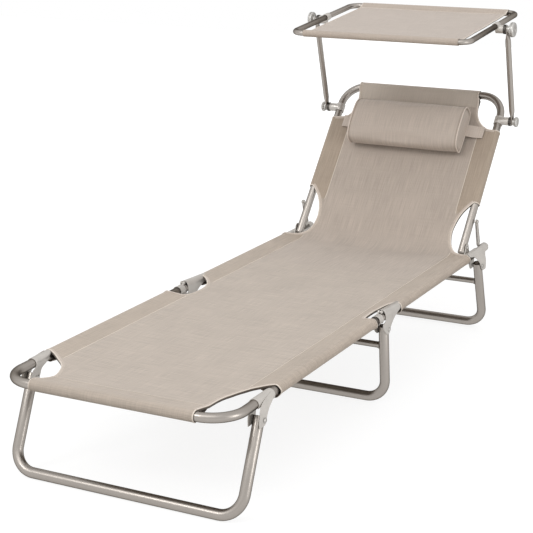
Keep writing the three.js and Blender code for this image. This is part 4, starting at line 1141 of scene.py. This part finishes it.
def canopyCover():
    r, half, inset = cover["radius"], cover["half"], cover["seam"]
    seam, contact, tail, turn, wrap = wrapRound(cover, 2)
    depth = canopy["front"] + canopy["rear"]
    find, total = sidePath((seam.x - canopy["front"], seam.y + canopy["rise"]), -90 + contact,
                           [(tail,), (r, -turn), (depth,), (r, -turn), (tail,)])
    lines = [start + off for start in (inset, depth - inset) for off in (-1.2, -0.6, 0, 0.6, 1.2)]
    places = rowPlaces(-wrap, total - wrap, [-tail, 0] + lines + [depth, depth + tail], 1.0, 8.0)
    columns = [half - d for d in (0, 1.5, 3.5, 6, 7.2, 8.4, 12, 20, 32)]
    xs = [-c for c in columns] + [-columns[-1] + 2 * columns[-1] * k / 26 for k in range(1, 26)] + columns[::-1]
    vertices, uvs, doubled, ridge = [], [], [], []
    for place in places:
        point, normal = find(place + wrap)
        on = ease(place / cover["fullAt"]) * ease((depth - place) / cover["fullAt"])
        pull = clamp(min(place, depth - place) / inset) ** 1.3
        near = min(abs(place - inset), abs(place - depth + inset))
        for x in xs:
            away = half - abs(x)
            hemmed = cover["hem"][0] < away < cover["hem"][1]
            drop = cover["dip"] * pull + cover["sag"] * on * (0.4 + 0.6 * (1 - (x / half) ** 2))
            drop += noise.noise(Vector((x * 0.012, place * 0.012, 9))) * 0.8 * on
            drop += 0.3 if hemmed and on > 0 else 0
            drop += -0.3 if near < 0.9 else 0.3 if near < 1.4 else 0
            doubled.append(1.0 if min(place, depth - place) < inset - 1.5 else 0.5 if away < cover["hem"][1] else 0.0)
            ridge.append(cover["pale"][0] if near < 0.9 else cover["pale"][1] if hemmed and pull == 1 else 0.0)
            spot = point - normal * drop
            pinch = x * (1 - cover["waist"] * on) * (1 if x > 0 else cover["left"])
            vertices.append(at(canopySpace, pinch, spot.x, spot.y))
            uvs.append((x * unit, place * unit))
    wide = len(xs)
    obj = meshPiece("canopyCover", vertices, shellFaces(len(places), wide))
    mapCloth(obj, uvs)
    markPoints(obj, doubled=doubled, ridge=ridge)
    area, spots = measured(obj)
    rows = [i for i, p in enumerate(places) if 6 <= p <= depth - 6]
    edges = [([spots[i * wide + c] for i in rows], Vector((way, 0, 0))) for c, way in ((0, -1), (wide - 1, 1))]
    seams = [[spots[i * wide + c] for i in rows] for c in (4, wide - 5)]
    for row in (nearest(places, line) for line in (inset, depth - inset)):
        seams.append([spots[row * wide + c] for c in range(1, wide - 1)])
    applyModifier(obj, "SOLIDIFY", thickness=cover["thickness"] * unit, offset=-1)
    finish(obj, 50, canopyCloth, "canopy", "canopy", "canopy_cover")
    binding = sweepBand("canopyCoverBinding", edges, 6, 2.8)
    stitches = stitchLines("canopyCoverStitches", seams, 4.4, 3.0, 0.36)
    for piece, cloth in ((binding, hemCloth), (stitches, threadCloth)):
        wear(piece, cloth, "canopy")
        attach(piece, "canopy")


canopyCover()
print("canopy made")

# pillow and strap

pillow = {"half": 172, "height": 142, "thickness": 63, "place": 359, "rise": 15.9, "backAt": 9,
          "narrower": 0.035, "thinner": 0.05, "seamRise": 0.6, "puckers": 30}
blowing = {"quality": 5, "mass": 0.2, "tension_stiffness": 25, "compression_stiffness": 25, "bending_stiffness": 1.5,
           "use_pressure": True, "uniform_pressure_force": 2.5, "vertex_group_mass": "sewn"}
around = 72  # vertices round the pillow


def pillowOutline():
    # D section: crowned face, soft corners and a flat back; (along the back, out from it)
    points = []
    for i in range(around):
        c, s = math.cos(math.tau * i / around), math.sin(math.tau * i / around)
        facing = s > 0
        y = pillow["height"] / 2 * math.copysign(abs(c) ** (0.64 if facing else 0.5), c)
        z = 0.36 + (0.64 * abs(s) ** 0.66 if facing else -0.36 * abs(s) ** 0.45)
        points.append((y, pillow["thickness"] * z))
    return points


def blowOut(obj, weights):
    # the cover is blown out under pressure; the seams and the back stay where they are sewn and lie
    pins = obj.vertex_groups.new(name="sewn")
    for index, weight in enumerate(weights):
        if weight > 0:
            pins.add([index], weight, "REPLACE")
    modifier = obj.modifiers.new("Cloth", "CLOTH")
    for key, value in blowing.items():
        setattr(modifier.settings, key, value)
    modifier.settings.effector_weights.gravity = 0
    modifier.point_cache.frame_start, modifier.point_cache.frame_end = 1, 20
    for moment in range(1, 21):
        bpy.context.scene.frame_set(moment)
    graph = bpy.context.evaluated_depsgraph_get()
    after = [v.co.copy() for v in obj.evaluated_get(graph).data.vertices]
    obj.modifiers.remove(modifier)
    bpy.context.scene.frame_set(1)
    farthest = 4 * unit
    for vertex, new in zip(obj.data.vertices, after):
        step = new - vertex.co
        vertex.co += step.normalized() * min(step.length, farthest) if step.length > 1e-9 else step
    obj.vertex_groups.clear()


def pillowPiece():
    outline, half, middle = pillowOutline(), pillow["half"], pillow["thickness"] * 0.4
    # across the width: end faces in rings that shrink to the middle, then the cover between the two seams
    along = [half * math.sin(math.pi / 2 * t / 26) for t in range(-25, 26)]
    along = [-half, 3 - half] + [x for x in along if abs(x) < half - 5] + [half - 3, half]
    shares = (0.12, 0.3, 0.5, 0.68, 0.84, 0.94)
    rings = [(-half, share) for share in shares] + [(x, 1.0) for x in along]
    rings += [(half, share) for share in reversed(shares)]
    vertices, seam = [], []
    for x, share in rings:
        end = (abs(x) / half) ** 6
        for y, z in outline:
            z2 = (middle + (z - middle) * share) * (1 - pillow["thinner"] * end)
            z2 += pillow["seamRise"] if share == 1.0 else 0
            vertices.append(Vector((x, y * share * (1 - pillow["narrower"] * end), z2)))
            seam.append(share == 1.0 and abs(x) == half)
    placed = [at(backSpace, v.x, v.y + pillow["place"], v.z + pillow["rise"]) for v in vertices]
    obj = meshPiece("pillow_cushion", placed, shellFaces(len(rings), around, flip=True, tube=True))
    openEdit(obj)
    closeEdit(0)
    blowOut(obj, [1.0 if sewn else max(0.0, 1 - v.z / pillow["backAt"]) for v, sewn in zip(vertices, seam)])
    # light puckers beside the end seams
    for index, (vertex, rest) in enumerate(zip(obj.data.vertices, vertices)):
        onCover = rings[index // around][1] == 1.0 and not seam[index]
        near = ease(1 - (half - abs(rest.x)) / pillow["puckers"]) if onCover else 0
        ripple = noise.noise(Vector((rest.x * 0.02, rest.y * 0.16, rest.z * 0.16))) * 1.1 * near
        ripple += noise.noise(Vector((rest.x * 0.012, rest.y * 0.02, rest.z * 0.02 + 4))) * 0.8
        if rest.z > pillow["backAt"]:
            vertex.co += vertex.normal * ripple * unit
    layer = obj.data.uv_layers.new(name="cloth")
    lengths = [0.0]
    for a, b in zip(outline, outline[1:] + outline[:1]):
        lengths.append(lengths[-1] + math.hypot(b[0] - a[0], b[1] - a[1]))
    for face in obj.data.polygons:
        wraps = {v % around for v in face.vertices} == {0, around - 1}
        covers = all(rings[v // around][1] == 1.0 for v in face.vertices)
        for loop in face.loop_indices:
            index = obj.data.loops[loop].vertex_index
            ring, i = divmod(index, around)
            if covers:
                spot = (rings[ring][0] * unit, lengths[around if wraps and i == 0 else i] * unit)
            else:
                spot = (vertices[index].z * unit, vertices[index].y * unit)
            layer.data[loop].uv = spot
    rims = []
    for x in (-half, half):
        ring = rings.index((x, 1.0))
        rims.append([obj.data.vertices[ring * around + i].co.copy() for i in range(around)])
    # painted shade beside the end seams and round the rim of the end faces
    groove = [max(0.0, 1 - abs(abs(x) - half) / 5) if share == 1.0 else 0.8 if share > 0.9 else 0.0
              for x, share in rings]
    markPoints(obj, groove=[value for value in groove for i in range(around)])
    applyModifier(obj, "SUBSURF", levels=1, render_levels=1)
    finish(obj, 70, pillowCloth, "pillow", "back", "pillow")
    return rims


def pipingPiece(rims):
    # one piping runs round each end
    axis, vertices, faces, sides = Vector((1, 0, 0)), [], [], 10
    for rim in rims:
        faces += shellFaces(len(rim), sides, len(vertices), tube=True, ring=True)
        centre = sum(rim, Vector()) / len(rim)
        for spot in rim:
            away = (spot - centre).normalized()
            middle = spot + away * 1.1 * unit + axis * math.copysign(0.3, rim[0].x) * unit
            vertices += circleSpots(middle, away, axis, 2.1 * unit, sides)
    piping = meshPiece("pillow_piping", vertices, faces)
    openEdit(piping)
    closeEdit()
    mapCloth(piping)
    finish(piping, 70, pipingCloth, "pillow", "back")


pipingPiece(pillowPiece())

strap = {"half": 226, "width": 39, "place": 372, "thickness": 1.4, "lift": 5.5, "rise": 0.8, "sag": 5,
         "turnedEnd": 13}


def strapPiece():
    rise = sleeve["radius"] + strap["rise"]
    xs = [-strap["half"] + strap["half"] * 2 * k / 90 for k in range(91)]
    ys = [-0.5, -0.47, -0.43, -0.38, -0.25, 0, 0.25, 0.38, 0.43, 0.47, 0.5]
    vertices, uvs, rows, wide = [], [], len(xs), len(ys)
    for x in xs:
        lift = ease(1 - max(abs(x) - pillow["half"], 0) / 34) * strap["lift"]
        lift += 0.9 if abs(x) > strap["half"] - strap["turnedEnd"] else 0
        sag = strap["sag"] * (1 - (x / rail["x"]) ** 2)
        for y in ys:
            ripple = noise.noise(Vector((x * 0.03, y * 2, 3))) * 0.5
            edge = -0.25 if abs(y) > 0.44 else 0
            vertices.append(at(backSpace, x, strap["place"] + y * strap["width"], rise - sag + lift + ripple + edge))
            uvs.append((y * strap["width"] * unit, x * unit))
    obj = meshPiece("pillowStrap", vertices, shellFaces(rows, wide, flip=True))
    mapCloth(obj, uvs)
    area, spots = measured(obj)
    lines = [[spots[r * wide + c] for r in range(2, rows - 2)] for c in (2, wide - 3)]
    lines += [[spots[r * wide + c] for c in range(1, wide - 1)] for r in (2, rows - 3)]
    applyModifier(obj, "SOLIDIFY", thickness=strap["thickness"] * unit, offset=-1)
    roundEdges(obj, 0.4, 60)
    finish(obj, 50, strapCloth, "sling", "back", "pillow_strap")
    stitches = stitchLines("pillowStrapStitches", lines, 4.2, 2.8, 0.36)
    wear(stitches, threadCloth, "sling")
    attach(stitches, "back")
    print("strap area", round(area, 4))


strapPiece()
print("pillow made")

# floor, light and camera

studio = {"ambient": 0.92, "white": (1, 1, 1, 1), "shownTone": (0.2, 0.2, 0.2, 1), "hiddenTone": (0.42, 0.41, 0.39, 1),
          "floorSize": 14, "floorAt": -0.0005, "glow": (0.845, 1.0), "glowSpan": (1.0, 2.4)}


def shownRays(tree):
    rays = addNode(tree, "ShaderNodeLightPath")
    seen = mathNode(tree, "MAXIMUM", (rays, "Is Camera Ray"), (rays, "Is Glossy Ray"))
    return mathNode(tree, "MAXIMUM", seen, (rays, "Is Transmission Ray"))


def stagePiece():
    deselect()
    bpy.ops.mesh.primitive_plane_add(size=studio["floorSize"], location=(0, 0, studio["floorAt"]))
    floor = bpy.context.object
    floor.name = "floor"
    material, tree, shader = startMaterial("paleFloor")
    shown = shownRays(tree)
    tones = {0: shown, 6: studio["hiddenTone"], 7: studio["shownTone"]}
    tone = addNode(tree, "ShaderNodeMix", tones, data_type="RGBA")  # what is seen keeps only a soft shadow
    place = addNode(tree, "ShaderNodeTexCoord")
    away = addNode(tree, "ShaderNodeVectorMath", {0: (place, "Object")}, operation="LENGTH")
    (near, far), (least, most) = studio["glowSpan"], studio["glow"]
    span = {"Value": (away, "Value"), "From Min": near, "From Max": far, "To Min": least, "To Max": most}
    fade = addNode(tree, "ShaderNodeMapRange", span, interpolation_type="SMOOTHSTEP")
    glow = mathNode(tree, "MULTIPLY", shown, fade)
    for label, value in (("Roughness", 0.9), ("Specular IOR Level", 0.1), ("Emission Color", studio["white"]),
                         ("Base Color", (tone, 2)), ("Emission Strength", glow)):
        feed(tree, shader.inputs[label], value)
    floor.data.materials.append(material)

    world = bpy.data.worlds.new("studio")
    bpy.context.scene.world = world
    world.use_nodes = True
    sky = world.node_tree.nodes["Background"]
    strength = mathNode(world.node_tree, "MAXIMUM", shownRays(world.node_tree), studio["ambient"])
    feed(world.node_tree, sky.inputs["Color"], studio["white"])
    feed(world.node_tree, sky.inputs["Strength"], strength)


lamps = [
    # name, place, aim, size, watts
    ("keyLight", (-2.5, -5.1, 4.9), (0, 0.1, 0.3), (1.7, 1.7), 84),
    ("fillLight", (3.2, -1.2, 1.8), (0, 0, 0.3), (1.6, 1.6), 4),
    ("topLight", (0.8, -4.2, 5.2), (0, 0.3, 0.4), (3.8, 3.8), 50),
    ("sideLight", (2.7, -0.8, 0.55), (0, 0.1, 0.3), (0.8, 0.9), 10),
]
view = {"place": (1.6169, -3.3306, 1.3361), "pitch": 74.42, "yaw": 27.25, "lens": 99.5, "sensor": 36, "clip": (0.1, 60)}


def addLamps():
    for name, place, aim, size, watts in lamps:
        data = bpy.data.lights.new(name, "AREA")
        data.shape = "RECTANGLE"
        data.size, data.size_y = size
        data.energy = watts
        lamp = linked(name, data)
        lamp.location = place
        lamp.rotation_euler = (Vector(aim) - Vector(place)).to_track_quat("-Z", "Y").to_euler()


def addCamera():
    data = bpy.data.cameras.new("camera")
    camera = linked("camera", data)
    camera.location = view["place"]
    camera.rotation_euler = (math.radians(view["pitch"]), 0, math.radians(view["yaw"]))
    data.sensor_width, data.lens = view["sensor"], view["lens"]
    data.clip_start, data.clip_end = view["clip"]
    bpy.context.scene.camera = camera


stagePiece()
addLamps()
addCamera()
bpy.context.scene.view_settings.view_transform = "Standard"
print("stage made")

deselect()
